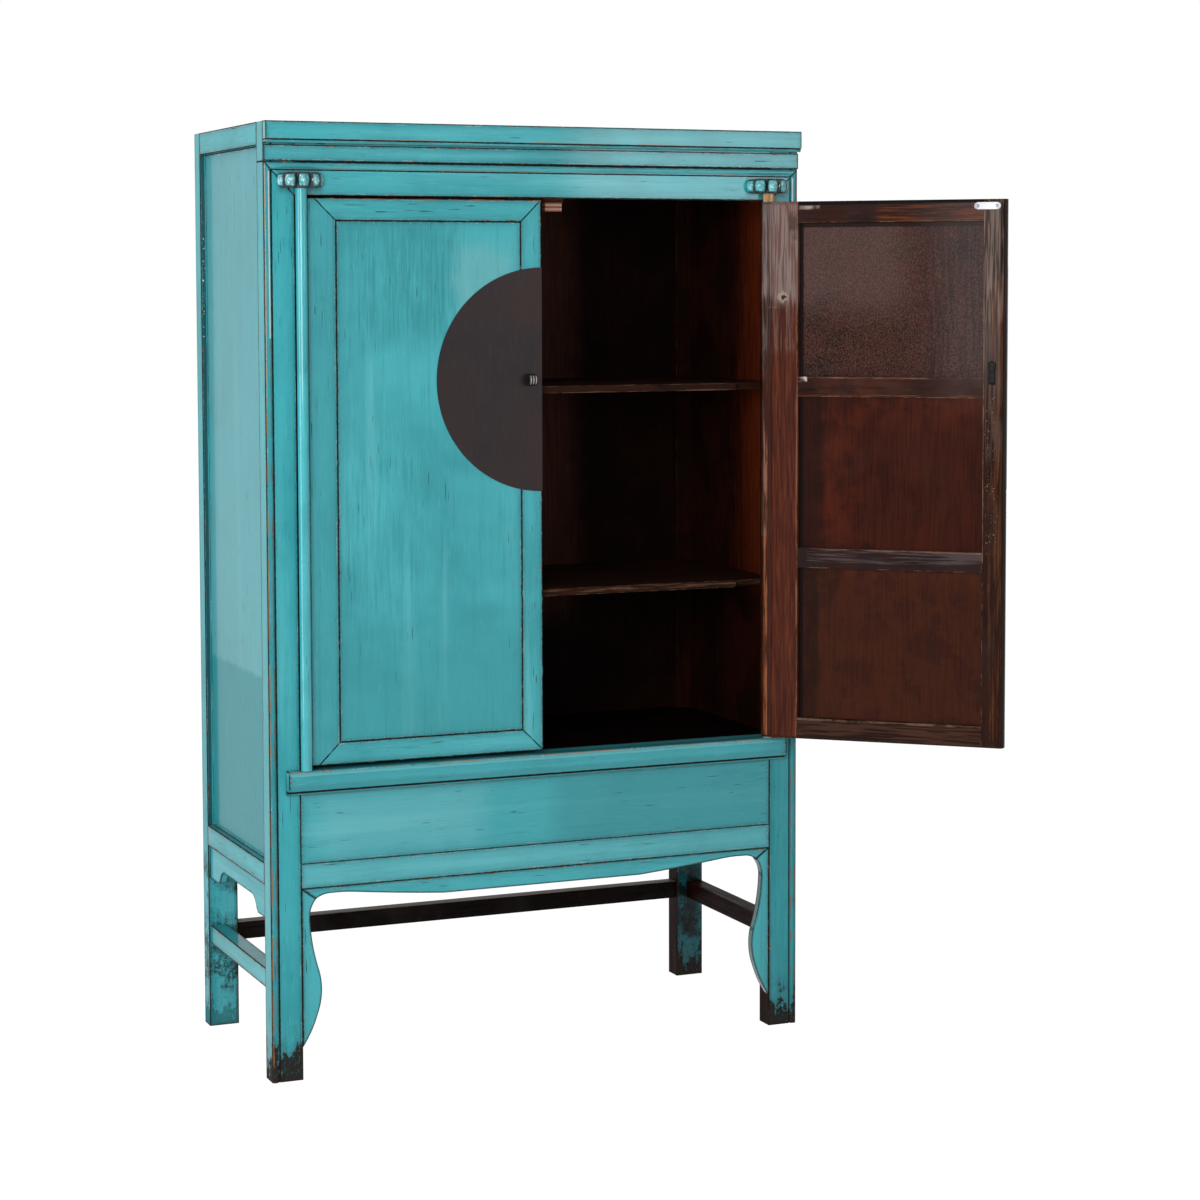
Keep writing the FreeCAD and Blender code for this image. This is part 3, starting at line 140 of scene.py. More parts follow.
class Number:
    """A number socket of a shader. An expression on it adds the Math nodes that work it out."""

    def __init__(self, graph: "Graph", socket: bpy.types.NodeSocket) -> None:
        """Wrap a socket of a graph."""
        self.graph = graph
        self.socket = socket

    def sum_up(self, operation: str, *terms: Union["Number", float]) -> "Number":
        """Add one Math node.

        Args:
            operation: The Math node's operation.
            *terms: Numbers or plain values for its sockets, in order.

        Returns:
            The node's result.
        """
        made = self.graph.tree.nodes.new("ShaderNodeMath")
        made.operation = operation
        for place, term in zip(made.inputs, terms):
            self.graph.feed(place, term)
        return Number(self.graph, made.outputs[0])

    def __add__(self, other: Union["Number", float]) -> "Number":
        """Sum."""
        return self.sum_up("ADD", self, other)

    def __radd__(self, other: float) -> "Number":
        """Sum, reflected."""
        return self.sum_up("ADD", other, self)

    def __sub__(self, other: Union["Number", float]) -> "Number":
        """Difference."""
        return self.sum_up("SUBTRACT", self, other)

    def __rsub__(self, other: float) -> "Number":
        """Difference, reflected."""
        return self.sum_up("SUBTRACT", other, self)

    def __mul__(self, other: Union["Number", float]) -> "Number":
        """Product."""
        return self.sum_up("MULTIPLY", self, other)

    def __rmul__(self, other: float) -> "Number":
        """Product, reflected."""
        return self.sum_up("MULTIPLY", other, self)

    def __abs__(self) -> "Number":
        """Size without sign."""
        return self.sum_up("ABSOLUTE", self)

    def least(self, other: Union["Number", float]) -> "Number":
        """The smaller of two."""
        return self.sum_up("MINIMUM", self, other)

    def most(self, other: Union["Number", float]) -> "Number":
        """The larger of two."""
        return self.sum_up("MAXIMUM", self, other)

    def within(self, low: float, high: float, soft: float) -> "Number":
        """1 between low and high and 0 outside, fading over soft at each end."""
        return self.rise(low - soft, low) * self.rise(high + soft, high)

    def rise(self, low: float, high: float) -> "Number":
        """A smooth step.

        Args:
            low: Where it is 0.
            high: Where it is 1, which may be the smaller of the two.

        Returns:
            The step.
        """
        feeds = {"Value": self, "From Min": min(low, high), "From Max": max(low, high)}
        if low > high:
            feeds.update({"To Min": 1.0, "To Max": 0.0})
        made = self.graph.node("ShaderNodeMapRange", {"interpolation_type": "SMOOTHSTEP"}, feeds)
        return Number(self.graph, made.outputs["Result"])


Feed = Union[Number, bpy.types.NodeSocket, float, Sequence[float]]


class Graph:
    """The node tree of one material, or of the world."""

    def __init__(self, name: str, tree: Optional[bpy.types.NodeTree] = None) -> None:
        """Start an empty material.

        Args:
            name: The material's name.
            tree: The node tree to fill instead, where it belongs to no material.
        """
        if tree is None:
            self.material = bpy.data.materials.new(name)
            self.material.use_nodes = True
            tree = self.material.node_tree
        self.tree = tree
        self.tree.nodes.clear()

    def feed(self, place: bpy.types.NodeSocket, value: Feed) -> None:
        """Link a socket, or set its own value.

        Args:
            place: The input socket.
            value: A number or socket to link, or a plain value.
        """
        if isinstance(value, Number):
            self.tree.links.new(value.socket, place)
        elif isinstance(value, bpy.types.NodeSocket):
            self.tree.links.new(value, place)
        elif place.type == "RGBA" and len(value) == 3:
            place.default_value = (*value, 1.0)
        else:
            place.default_value = value

    def node(
        self, kind: str, settings: Optional[dict] = None, feeds: Optional[dict[str, Feed]] = None
    ) -> bpy.types.Node:
        """Add any node.

        Args:
            kind: The node's type.
            settings: Its properties, which are set first.
            feeds: Values or links of its sockets by name.

        Returns:
            The node.
        """
        made = self.tree.nodes.new(kind)
        for name, value in (settings or {}).items():
            setattr(made, name, value)
        for name, value in (feeds or {}).items():
            self.feed(made.inputs[name], value)
        return made

    def mix(self, factor: Feed, first: Feed, second: Feed) -> bpy.types.NodeSocket:
        """Blend two colours.

        Args:
            factor: How much of the second shows.
            first: The first colour.
            second: The second colour.

        Returns:
            The blend.
        """
        made = self.node("ShaderNodeMix", {"data_type": "RGBA"})
        self.feed(made.inputs["Factor"], factor)
        self.feed(made.inputs[6], first)
        self.feed(made.inputs[7], second)
        return made.outputs[2]

    def layers(self, colour: Feed, *coats: tuple[Feed, Feed]) -> Feed:
        """Lay colours over one another.

        Args:
            colour: The lowest colour.
            *coats: For each further layer, how much it covers and its colour.

        Returns:
            The colour that shows.
        """
        for cover, tint in coats:
            colour = self.mix(cover, colour, tint)
        return colour

    def blend(self, factor: Feed, first: Feed, second: Feed) -> Number:
        """Blend two numbers.

        Args:
            factor: How much of the second counts.
            first: The first number.
            second: The second number.

        Returns:
            The blend.
        """
        made = self.node("ShaderNodeMix", {"data_type": "FLOAT"})
        self.feed(made.inputs["Factor"], factor)
        self.feed(made.inputs[2], first)
        self.feed(made.inputs[3], second)
        return Number(self, made.outputs[0])

    def axes(self, vector: bpy.types.NodeSocket) -> tuple[Number, Number, Number]:
        """Split a vector into its three numbers."""
        made = self.node("ShaderNodeSeparateXYZ", None, {"Vector": vector})
        return tuple(Number(self, made.outputs[name]) for name in "XYZ")

    def vectors(self, operation: str, first: Feed, second: Feed) -> bpy.types.Node:
        """Add one Vector Math node.

        Args:
            operation: Its operation.
            first: Its first vector.
            second: Its second vector.

        Returns:
            The node.
        """
        made = self.node("ShaderNodeVectorMath", {"operation": operation})
        self.feed(made.inputs[0], first)
        self.feed(made.inputs[1], second)
        return made

    def stretched(self, vector: bpy.types.NodeSocket, scale: Point) -> bpy.types.NodeSocket:
        """Scale a vector along each axis."""
        return self.vectors("MULTIPLY", vector, scale).outputs[0]

    def noise(
        self, vector: bpy.types.NodeSocket, scale: float, detail: float = 2.0, rough: float = 0.5,
        twist: float = 0.0
    ) -> Number:
        """Cloudy noise between 0 and 1.

        Args:
            vector: The place.
            scale: Features per metre.
            detail: Octaves.
            rough: How strong each finer octave is.
            twist: How far the pattern is drawn out of shape.

        Returns:
            The noise.
        """
        feeds = {
            "Vector": vector, "Scale": scale, "Detail": detail, "Roughness": rough, "Distortion": twist
        }
        return Number(self, self.node("ShaderNodeTexNoise", None, feeds).outputs["Fac"])


@dataclass(frozen=True)
class Setting:
    """How a piece's own coordinates lie: turned about +Z, maybe mirrored, then moved."""

    location: Point = (0.0, 0.0, 0.0)
    turn: float = 0.0
    mirror: bool = False

    def place(self, graph: Graph) -> bpy.types.NodeSocket:
        """The piece's own coordinates in metres.

        Args:
            graph: The material to add to.

        Returns:
            Object coordinates, mirrored in X where asked, turned about Z and moved.
        """
        feeds = {
            "Vector": graph.node("ShaderNodeTexCoord").outputs["Object"],
            "Location": self.location,
            "Rotation": (0.0, 0.0, self.turn),
            "Scale": (-1.0 if self.mirror else 1.0, 1.0, 1.0),
        }
        return graph.node("ShaderNodeMapping", {"vector_type": "POINT"}, feeds).outputs[0]


@dataclass(frozen=True)
class Line:
    """A straight seam where a * x + b * y + c * z = d, with a, b, c of unit length.

    Attributes:
        a: Share of X.
        b: Share of Y.
        c: Share of Z.
        d: Distance from the origin in metres.
        half: Half its width in millimetres.
    """

    a: float
    b: float
    c: float
    d: float
    half: float = 1.0

    @staticmethod
    def level(height: float, half: float = 1.0) -> "Line":
        """A level seam at a height in millimetres."""
        return Line(0.0, 0.0, 1.0, height * MM, half)

    @staticmethod
    def upright(place: float, half: float = 1.0) -> "Line":
        """An upright seam at an X in millimetres."""
        return Line(1.0, 0.0, 0.0, place * MM, half)

    @staticmethod
    def through(x0: float, z0: float, x1: float, z1: float) -> "Line":
        """A seam seen from the front through two points.

        Args:
            x0: X of the first point, in millimetres.
            z0: Z of the first point.
            x1: X of the second point.
            z1: Z of the second point.

        Returns:
            The seam.
        """
        length = math.hypot(x1 - x0, z1 - z0)
        a = (z1 - z0) / length
        c = -(x1 - x0) / length
        return Line(a, 0.0, c, (a * x0 + c * z0) * MM)

    def gap(self, ground: "Ground") -> Number:
        """How far each point of a piece lies from the seam.

        Args:
            ground: The piece's coordinates.

        Returns:
            The distance in metres.
        """
        shares = ((ground.x, self.a), (ground.y, self.b), (ground.z, self.c))
        first, *more = [place * share for place, share in shares if share]
        return abs(sum(more, first) - self.d)


@dataclass(frozen=True)
class Mark:
    """A patch of another colour, placed in the piece's own coordinates.

    Attributes:
        colour: Its colour.
        strength: How much of it shows at most.
        x: From and to in X, in millimetres.
        z: From and to in Z, in millimetres.
        y: From and to in Y, in millimetres.
        soft: The width in millimetres over which it fades.
        pattern: What breaks it up.
        over: Whether it lies over the worn arrises and seams instead of under them.
    """

    colour: Colour
    strength: float
    x: tuple[float, float] = ANYWHERE
    z: tuple[float, float] = ANYWHERE
    soft: float = 12.0
    pattern: Pattern = Pattern.SOLID
    y: tuple[float, float] = ANYWHERE
    over: bool = False

    def mask(self, ground: "Ground") -> Number:
        """Where the mark shows, from 0 to its strength.

        Args:
            ground: The piece's coordinates.

        Returns:
            A soft-edged rectangle with a wandering edge, times the pattern.
        """
        wander = (ground.wide() - 0.5) * (min(self.soft, 30.0) * 1.6 * MM)
        shown: Union[Number, float] = self.strength
        for limits, place in ((self.x, ground.x), (self.y, ground.y), (self.z, ground.z)):
            if limits != ANYWHERE:
                low, high = limits
                shown = (place + wander).within(low * MM, high * MM, self.soft * MM) * shown
        if self.pattern is Pattern.SOLID:
            return shown
        return ground.broken(self.pattern) * shown


@dataclass(frozen=True)
class Piece:
    """One piece to dress.

    Attributes:
        node: Its name.
        grain: The way its grain runs.
        bounds: Its visible limits in its own coordinates, or None to take the node's box.
        seams: Straight dark seams on it beside its own edges.
        marks: Patches on its outside.
        inner_marks: Patches on its inside.
        inner_x: Faces nearer the middle than this X are inside, in millimetres.
        back_y: Faces further back than this Y are inside, in millimetres.
        niche: X, and limits of Y and Z, in millimetres: faces nearer the middle than X and between
            those limits are inside.
        curved: Whether its outline is curved, so that its edges are found by a bevel.
        foot: How worn its foot is where it stands on the floor, from 0 to 1.
        rubbed: How much of its arrises is rubbed through, from 0 to 1.
        broken: How much of its seams is interrupted, from 0 to 1.
        smudges: Heights of dark smudges round it, in millimetres.
        chipped: How much pale primer shows beside its arrises, from 0 to 1.
        lined: How wide the dark line along its arrises is, where 1 is about 2 mm.
        polish: How much of the lacquer's clear coat it has, from 0 to 1.
    """

    node: str
    grain: Grain
    bounds: Optional[Bounds] = None
    seams: tuple[Line, ...] = ()
    marks: tuple[Mark, ...] = ()
    inner_marks: tuple[Mark, ...] = ()
    inner_x: Optional[float] = None
    back_y: Optional[float] = None
    niche: Optional[tuple[float, float, float, float, float]] = None
    curved: bool = False
    foot: float = 0.0
    rubbed: float = 0.5
    broken: float = 0.3
    smudges: tuple[float, ...] = ()
    chipped: float = 0.25
    lined: float = 1.0
    polish: float = 1.0


@dataclass
class Coat:
    """What a finish says of each point: its colour, roughness, gloss and height."""

    colour: Feed
    rough: Feed
    gloss: Feed
    height: Number


class Ground:
    """The coordinates, noises and edge distance that every finish on a piece shares."""

    def __init__(self, graph: Graph, setting: Setting, piece: Piece, bounds: Bounds, seed: int) -> None:
        """Work out the coordinates.

        Args:
            graph: The material to add to.
            setting: How the piece's own coordinates lie.
            piece: The piece.
            bounds: Its visible limits in metres.
            seed: A whole number that sets its pattern apart from the others.
        """
        self.graph = graph
        self.piece = piece
        self.place = setting.place(graph)
        self.x, self.y, self.z = graph.axes(self.place)
        apart = (seed * 0.731, seed * 1.297, seed * 0.419)
        self.loose = graph.vectors("ADD", self.place, apart).outputs[0]
        self.along = graph.stretched(self.loose, self.drawn_out(0.045))
        self.edge = self.edge_distance(bounds)
        self.kept: dict[str, Number] = {}

    def drawn_out(self, share: float) -> Point:
        """The scale that stretches a pattern along the grain.

        Args:
            share: The scale along the grain, where the other axes have 1.

        Returns:
            The scale along X, Y and Z.
        """
        stretch = [1.0, 1.0, 1.0]
        stretch[self.piece.grain.value] = share
        return tuple(stretch)

    def wide(self) -> Number:
        """Noise that makes the edges of marks wander."""
        if "wide" not in self.kept:
            self.kept["wide"] = self.graph.noise(self.loose, 26.0, 3.0, 0.6)
        return self.kept["wide"]

    def stipple(self) -> Number:
        """Fine worm-like stipple, a little longer along the grain."""
        if "stipple" not in self.kept:
            drawn = self.graph.stretched(self.loose, self.drawn_out(0.6))
            self.kept["stipple"] = self.graph.noise(drawn, 470.0, 2.0, 0.6, 0.8)
        return self.kept["stipple"]

    def broken(self, pattern: Pattern) -> Number:
        """What breaks a mark up.

        Args:
            pattern: Any pattern but the solid one.

        Returns:
            1 where the mark shows and 0 where it doesn't.
        """
        if pattern is Pattern.STIPPLE:
            return self.stipple().rise(0.44, 0.6)
        place, texture, (low, high) = {
            Pattern.CLOUD: (self.loose, (21.0, 3.0, 0.6, 0.3), (0.4, 0.62)),
            Pattern.STREAK: (self.along, (210.0, 4.0, 0.66), (0.44, 0.62)),
            Pattern.COMB: (self.along, (330.0, 1.0, 0.4), (0.4, 0.6)),
            Pattern.SPECK: (self.loose, (260.0, 2.0, 0.7), (0.66, 0.7)),
        }[pattern]
        return self.graph.noise(place, *texture).rise(low, high)

    def edge_distance(self, bounds: Bounds) -> Number:
        """The distance to the nearest arris of a box, in metres.

        A point on a face is no distance from that face's plane, so the second smallest of its
        distances to the three pairs of planes is the distance to the nearest arris. The second
        smallest of a, b and c is max(min(a, b), min(max(a, b), c)).

        Args:
            bounds: The box, in metres.

        Returns:
            The distance.
        """
        low, high = bounds
        a, b, c = [
            (place - low[i]).least(high[i] - place)
            for i, place in enumerate((self.x, self.y, self.z))
        ]
        return a.least(b).most(a.most(b).least(c))

    def bevel_edge(self, radius: float) -> Number:
        """How far the shape turns away nearby.

        Args:
            radius: How near, in metres.

        Returns:
            0 on a flat face and 1 at an arris.
        """
        graph = self.graph
        bevel = graph.node("ShaderNodeBevel", {"samples": 6}, {"Radius": radius}).outputs[0]
        flat = graph.node("ShaderNodeNewGeometry").outputs["True Normal"]
        turned = graph.vectors("DOT_PRODUCT", bevel, flat).outputs["Value"]
        return (1.0 - Number(graph, turned)).rise(0.004, 0.05)

    def spot(self, x: float, z: float) -> Number:
        """The distance in metres from a place on a front or back face.

        Args:
            x: Its X, in millimetres.
            z: Its Z, in millimetres.

        Returns:
            The distance.
        """
        across = self.x - x * MM
        up = self.z - z * MM
        return (across * across + up * up).sum_up("SQRT", across * across + up * up)

    def inside(self) -> Optional[Number]:
        """1 on the faces that the piece turns inwards, or None if it has none."""
        piece = self.piece
        mask = None
        if piece.inner_x is not None:
            mask = abs(self.x).rise((piece.inner_x + 0.4) * MM, (piece.inner_x - 0.4) * MM)
        if piece.back_y is not None:
            back = self.y.rise((piece.back_y - 0.4) * MM, (piece.back_y + 0.4) * MM)
            mask = back if mask is None else mask.most(back)
        if piece.niche is not None:
            reach, y0, y1, z0, z1 = piece.niche
            part = abs(self.x).rise((reach + 0.4) * MM, (reach - 0.4) * MM)
            part = part * self.y.within(y0 * MM, y1 * MM, 0.3 * MM)
            part = part * self.z.within(z0 * MM, z1 * MM, 0.3 * MM)
            mask = part if mask is None else mask.most(part)
        return mask


@dataclass(frozen=True)
class Lacquer:
    """Glossy turquoise lacquer, brushed along the grain, rubbed through at its edges.

    Attributes:
        light: The pale turquoise of its thin streaks.
        main: Its main turquoise.
        deep: Its deep cloudy turquoise.
        seam: The near black of its joints.
        rub: The brown wood that shows where it is rubbed through.
        bare: The pale wood at the middle of a rubbed place.
        chip: The pale specks of old primer.
        foot: The worn brown of the feet.
        coat: How strong its clear coat is.
    """

    light: Colour = srgb(104, 190, 197)
    main: Colour = srgb(60, 166, 175)
    deep: Colour = srgb(26, 130, 138)
    seam: Colour = srgb(30, 24, 22)
    rub: Colour = srgb(112, 70, 40)
    bare: Colour = srgb(178, 136, 96)
    chip: Colour = srgb(196, 220, 216)
    foot: Colour = srgb(44, 36, 32)
    coat: float = 0.8

    def lay(self, ground: Ground) -> Coat:
        """Lay the lacquer on a piece.

        Args:
            ground: The piece's coordinates.

        Returns:
            Its colour, roughness, gloss and height at each point.
        """
        graph = ground.graph
        cloud = graph.noise(ground.loose, 3.4, 3.0, 0.6, 0.5)
        patch = graph.noise(ground.loose, 9.0, 3.0, 0.55)
        streak = graph.noise(ground.along, 90.0, 5.0, 0.68)
        broad = graph.noise(ground.along, 22.0, 3.0, 0.55)
        hair = graph.noise(ground.along, 460.0, 3.0, 0.6)
        colour = graph.layers(
            self.main,
            (cloud.rise(0.42, 0.74) * 0.7, self.deep),
            (patch.rise(0.5, 0.8) * streak.rise(0.4, 0.6) * 0.5, self.deep),
            (streak.rise(0.5, 0.74) * 0.4, self.deep),
            (broad.rise(0.5, 0.26) * 0.5, self.light),
            (hair.rise(0.56, 0.8) * 0.5, self.light),
            (hair.rise(0.46, 0.26) * 0.3, self.deep),
            *self.patches(ground, False)
        )
        coat = self.age(ground, colour, patch, streak, hair)
        coat.colour = graph.layers(coat.colour, *self.patches(ground, True))
        return coat

    @staticmethod
    def patches(ground: Ground, over: bool) -> list[tuple[Feed, Colour]]:
        """What the marks over the wear, or under it, cover, and their colours."""
        return [(mark.mask(ground), mark.colour) for mark in ground.piece.marks if mark.over is over]

    def age(self, ground: Ground, colour: Feed, patch: Number, streak: Number, hair: Number) -> Coat:
        """Darken the joints, rub the arrises through, fleck the faces and wear the feet.

        Args:
            ground: The piece's coordinates.
            colour: The fresh lacquer's colour.
            patch: Broad noise.
            streak: Noise along the grain.
            hair: Fine noise along the grain.

        Returns:
            Its colour, roughness, gloss and height at each point.
        """
        graph, piece = ground.graph, ground.piece
        ragged = graph.noise(ground.loose, 170.0, 3.0, 0.65)
        chips = graph.noise(ground.loose, 34.0, 3.0, 0.65)
        gaps = graph.noise(ground.loose, 60.0, 2.0, 0.5)
        fleck = graph.noise(ground.along, 380.0, 1.0, 0.5)
        speck = graph.noise(ground.loose, 430.0, 2.0, 0.6)
        wander = (ragged - 0.5) * (2.8 * MM)
        edge = ground.edge + wander
        worn_from = 0.66 - piece.rubbed * 0.26
        rub = edge.rise(4.2 * MM, 2.2 * MM) * chips.rise(worn_from, worn_from + 0.07)
        dark = edge.rise(2.3 * MM * piece.lined, 1.1 * MM * piece.lined)
        if piece.curved:
            dark = dark.most(ground.bevel_edge(6.5 * MM))
            rub = rub.most(ground.bevel_edge(9.0 * MM) * chips.rise(0.5, 0.6) * piece.rubbed)
        for line in piece.seams:
            gap = line.gap(ground) + wander * 0.7
            dark = dark.most(gap.rise((line.half + 0.7) * MM, (line.half - 0.2) * MM))
        dark = dark * graph.blend(gaps.rise(0.4, 0.3), 1.0, 1.0 - piece.broken)
        near = edge.rise(34 * MM, 2 * MM)
        sparse = 0.02 if piece.node.endswith("door_panel") else 0.0
        dashes = fleck.rise(0.71 + sparse, 0.74 + sparse) * patch.rise(0.42, 0.56)
        dots = speck.rise(0.67, 0.71) * (near * 0.8 + patch.rise(0.56, 0.7) * 0.4)
        worn_wood = graph.mix(ragged.rise(0.48, 0.62), self.rub, self.bare)
        pale = hair.rise(0.55, 0.6) * speck.rise(0.46, 0.52) * edge.within(2.2 * MM, 4.2 * MM, 0.7 * MM)
        colour = graph.layers(
            colour,
            (near * near * 0.3, self.deep),
            (edge.rise(9 * MM, 1.5 * MM) * 0.3, self.seam),
            (dashes * 0.8, self.seam),
            (dots * 0.7, self.seam),
            (rub * 0.9, worn_wood),
            (dark * 0.96, self.seam),
            (pale * piece.chipped, self.chip)
        )
        worn = dark.most(dashes * 0.6).most(rub * 0.7)
        for height in piece.smudges:
            level = abs(ground.z + (chips - 0.5) * 0.14 + (streak - 0.5) * 0.1 - height * MM)
            smudge = level.rise(60 * MM, 4 * MM) * (ragged * 0.5 + chips * 0.6).rise(0.42, 0.62)
            colour = graph.mix(smudge * 0.9, colour, self.seam)
            worn = worn.most(smudge * 0.5)
        if piece.foot:
            level = ground.z + (chips - 0.5) * 0.17 + (streak - 0.5) * 0.13
            level = level - edge.rise(10 * MM, 1 * MM) * 0.03
            bare = (level + (ragged - 0.5) * 0.06).rise(0.05, 0.034)
            shown = graph.blend(ragged.rise(0.52, 0.66), 0.97, 0.75) * piece.foot
            colour = graph.layers(
                colour, (level.rise(0.12, 0.02) * 0.4 * piece.foot, self.seam), (bare * shown, self.foot)
            )
            worn = worn.most(bare)
        rough = graph.blend(worn, 0.3, 0.62) + (streak - 0.5) * 0.16
        relief = hair * 0.06 + streak * 0.12 - dark * 0.7 - dashes * 0.4 - rub * 0.15
        return Coat(colour, rough, (1.0 - worn) * (self.coat * piece.polish), relief)


@dataclass(frozen=True)
class DarkWood:
    """Stained dark wood with a dull wax sheen, worn pale at its edges.

    Attributes:
        main: Its main brown.
        red: The redder brown of its clouds.
        pale: The grey-brown where the wax has dulled.
        black: The near black of its pores.
        edge: The pale brown of its worn edges.
        figure: How strongly the dark grain lines show.
        sheen: How much of the dull grey it shows.
        worn: How much of its arrises is worn pale.
        wax: How strong its wax coat is.
    """

    main: Colour = srgb(42, 20, 14)
    red: Colour = srgb(62, 27, 15)
    pale: Colour = srgb(88, 68, 62)
    black: Colour = srgb(13, 9, 8)
    edge: Colour = srgb(132, 98, 78)
    figure: float = 0.7
    sheen: float = 0.2
    worn: float = 0.5
    wax: float = 0.07

    def lay(self, ground: Ground) -> Coat:
        """Lay the stain on a piece.

        Args:
            ground: The piece's coordinates.

        Returns:
            Its colour, roughness, gloss and height at each point.
        """
        graph = ground.graph
        cloud = graph.noise(ground.loose, 6.5, 4.0, 0.6, 0.6)
        grain = graph.noise(ground.along, 170.0, 5.0, 0.7, 0.2)
        pores = graph.noise(ground.along, 560.0, 2.0, 0.6)
        dull = graph.noise(ground.loose, 8.5, 4.0, 0.6)
        colour = graph.layers(
            self.main,
            (cloud.rise(0.4, 0.64), self.red),
            (grain.rise(0.5, 0.68) * self.figure, self.black),
            (pores.rise(0.58, 0.72) * 0.5, self.black),
            (dull.rise(0.48, 0.74) * self.sheen, self.pale)
        )
        height = grain * -0.5 + pores * -0.15
        for mark in ground.piece.inner_marks:
            mask = mark.mask(ground)
            colour = graph.mix(mask, colour, mark.colour)
            if mark.pattern in (Pattern.COMB, Pattern.STIPPLE, Pattern.SPECK):
                height = height + mask * 0.5
        ragged = graph.noise(ground.loose, 130.0, 3.0, 0.6)
        worn = (ground.edge + (ragged - 0.5) * (2.6 * MM)).rise(1.8 * MM, 0.7 * MM)
        worn = worn * graph.noise(ground.loose, 30.0, 3.0, 0.6).rise(0.46, 0.6)
        colour = graph.mix(worn * self.worn, colour, self.edge)
        rough = graph.blend(grain.rise(0.4, 0.7), 0.38, 0.6)
        return Coat(colour, rough, self.wax, height)


@dataclass(frozen=True)
class Patina:
    """Dark brown-grey metal with a dull even patina.

    Attributes:
        main: Its main colour.
        warm: The warmer colour of its clouds.
        worn: The paler metal that stands for a painted highlight, on the staple's leaf ridges.
        scratch: The paler metal in its brush marks.
        pit: The near black of its pits.
        brush: How strongly it is brushed.
    """

    main: Colour = srgb(45, 41, 43)
    warm: Colour = srgb(52, 43, 43)
    worn: Colour = srgb(150, 146, 142)
    scratch: Colour = srgb(74, 66, 64)
    pit: Colour = srgb(26, 22, 22)
    brush: float = 0.25

    def lay(self, ground: Ground) -> Coat:
        """Lay the patina on a piece.

        Args:
            ground: The piece's coordinates.

        Returns:
            Its colour, roughness, gloss and height at each point.
        """
        graph = ground.graph
        cloud = graph.noise(ground.loose, 9.0, 3.0, 0.55, 0.3)
        brush = graph.noise(ground.along, 520.0, 3.0, 0.55)
        speck = graph.noise(ground.loose, 800.0, 2.0, 0.5)
        colour = graph.layers(
            self.main,
            (cloud.rise(0.35, 0.65), self.warm),
            (brush.rise(0.5, 0.8) * self.brush, self.scratch),
            (speck.rise(0.68, 0.74) * 0.4, self.pit)
        )
        rough = 0.4 + (cloud - 0.5) * 0.16 + (brush - 0.5) * 0.1
        return Coat(colour, rough, 0.0, brush * 0.12 + speck * 0.06)


def finish(
    graph: Graph,
    coat: Coat,
    relief: float = 0.3 * MM,
    bevel: float = 0.0,
    constants: Optional[dict[str, Feed]] = None,
) -> bpy.types.Material:
    """Close a material from a coat.

    Args:
        graph: The material.
        coat: What it shows at each point.
        relief: How deep its relief is, in metres.
        bevel: The radius that its arrises seem rounded by, in metres.
        constants: Other values of the shader.

    Returns:
        The material.
    """
    feeds = {"Height": coat.height, "Distance": relief, "Strength": 1.0}
    if bevel:
        feeds["Normal"] = graph.node("ShaderNodeBevel", {"samples": 4}, {"Radius": bevel}).outputs[0]
    bump = graph.node("ShaderNodeBump", None, feeds)
    values = {
        "Specular IOR Level": 0.02,
        "Coat Roughness": 0.09,
        **(constants or {}),
        "Base Color": coat.colour,
        "Roughness": coat.rough,
        "Coat Weight": coat.gloss,
        "Normal": bump.outputs[0],
    }
    shader = graph.node("ShaderNodeBsdfPrincipled", None, values)
    output = graph.node("ShaderNodeOutputMaterial")
    graph.tree.links.new(shader.outputs[0], output.inputs[0])
    return graph.material


def overlay(graph: Graph, mask: Number, under: Coat, over: Coat) -> Coat:
    """Show one coat where a mask is 0 and another where it is 1."""
    return Coat(
        graph.mix(mask, under.colour, over.colour),
        graph.blend(mask, under.rough, over.rough),
        graph.blend(mask, under.gloss, over.gloss),
        graph.blend(mask, under.height, over.height),
    )


def dress(node: str, material: bpy.types.Material, frame: dict) -> None:
    """Give a CAD node one material in all its slots.

    Args:
        node: The node's name.
        material: The material.
        frame: The loaded frame.
    """
    mesh = frame["nodes"][node].data
    mesh.materials.clear()
    mesh.materials.append(material)
    LOG.info("dressed %s", node)


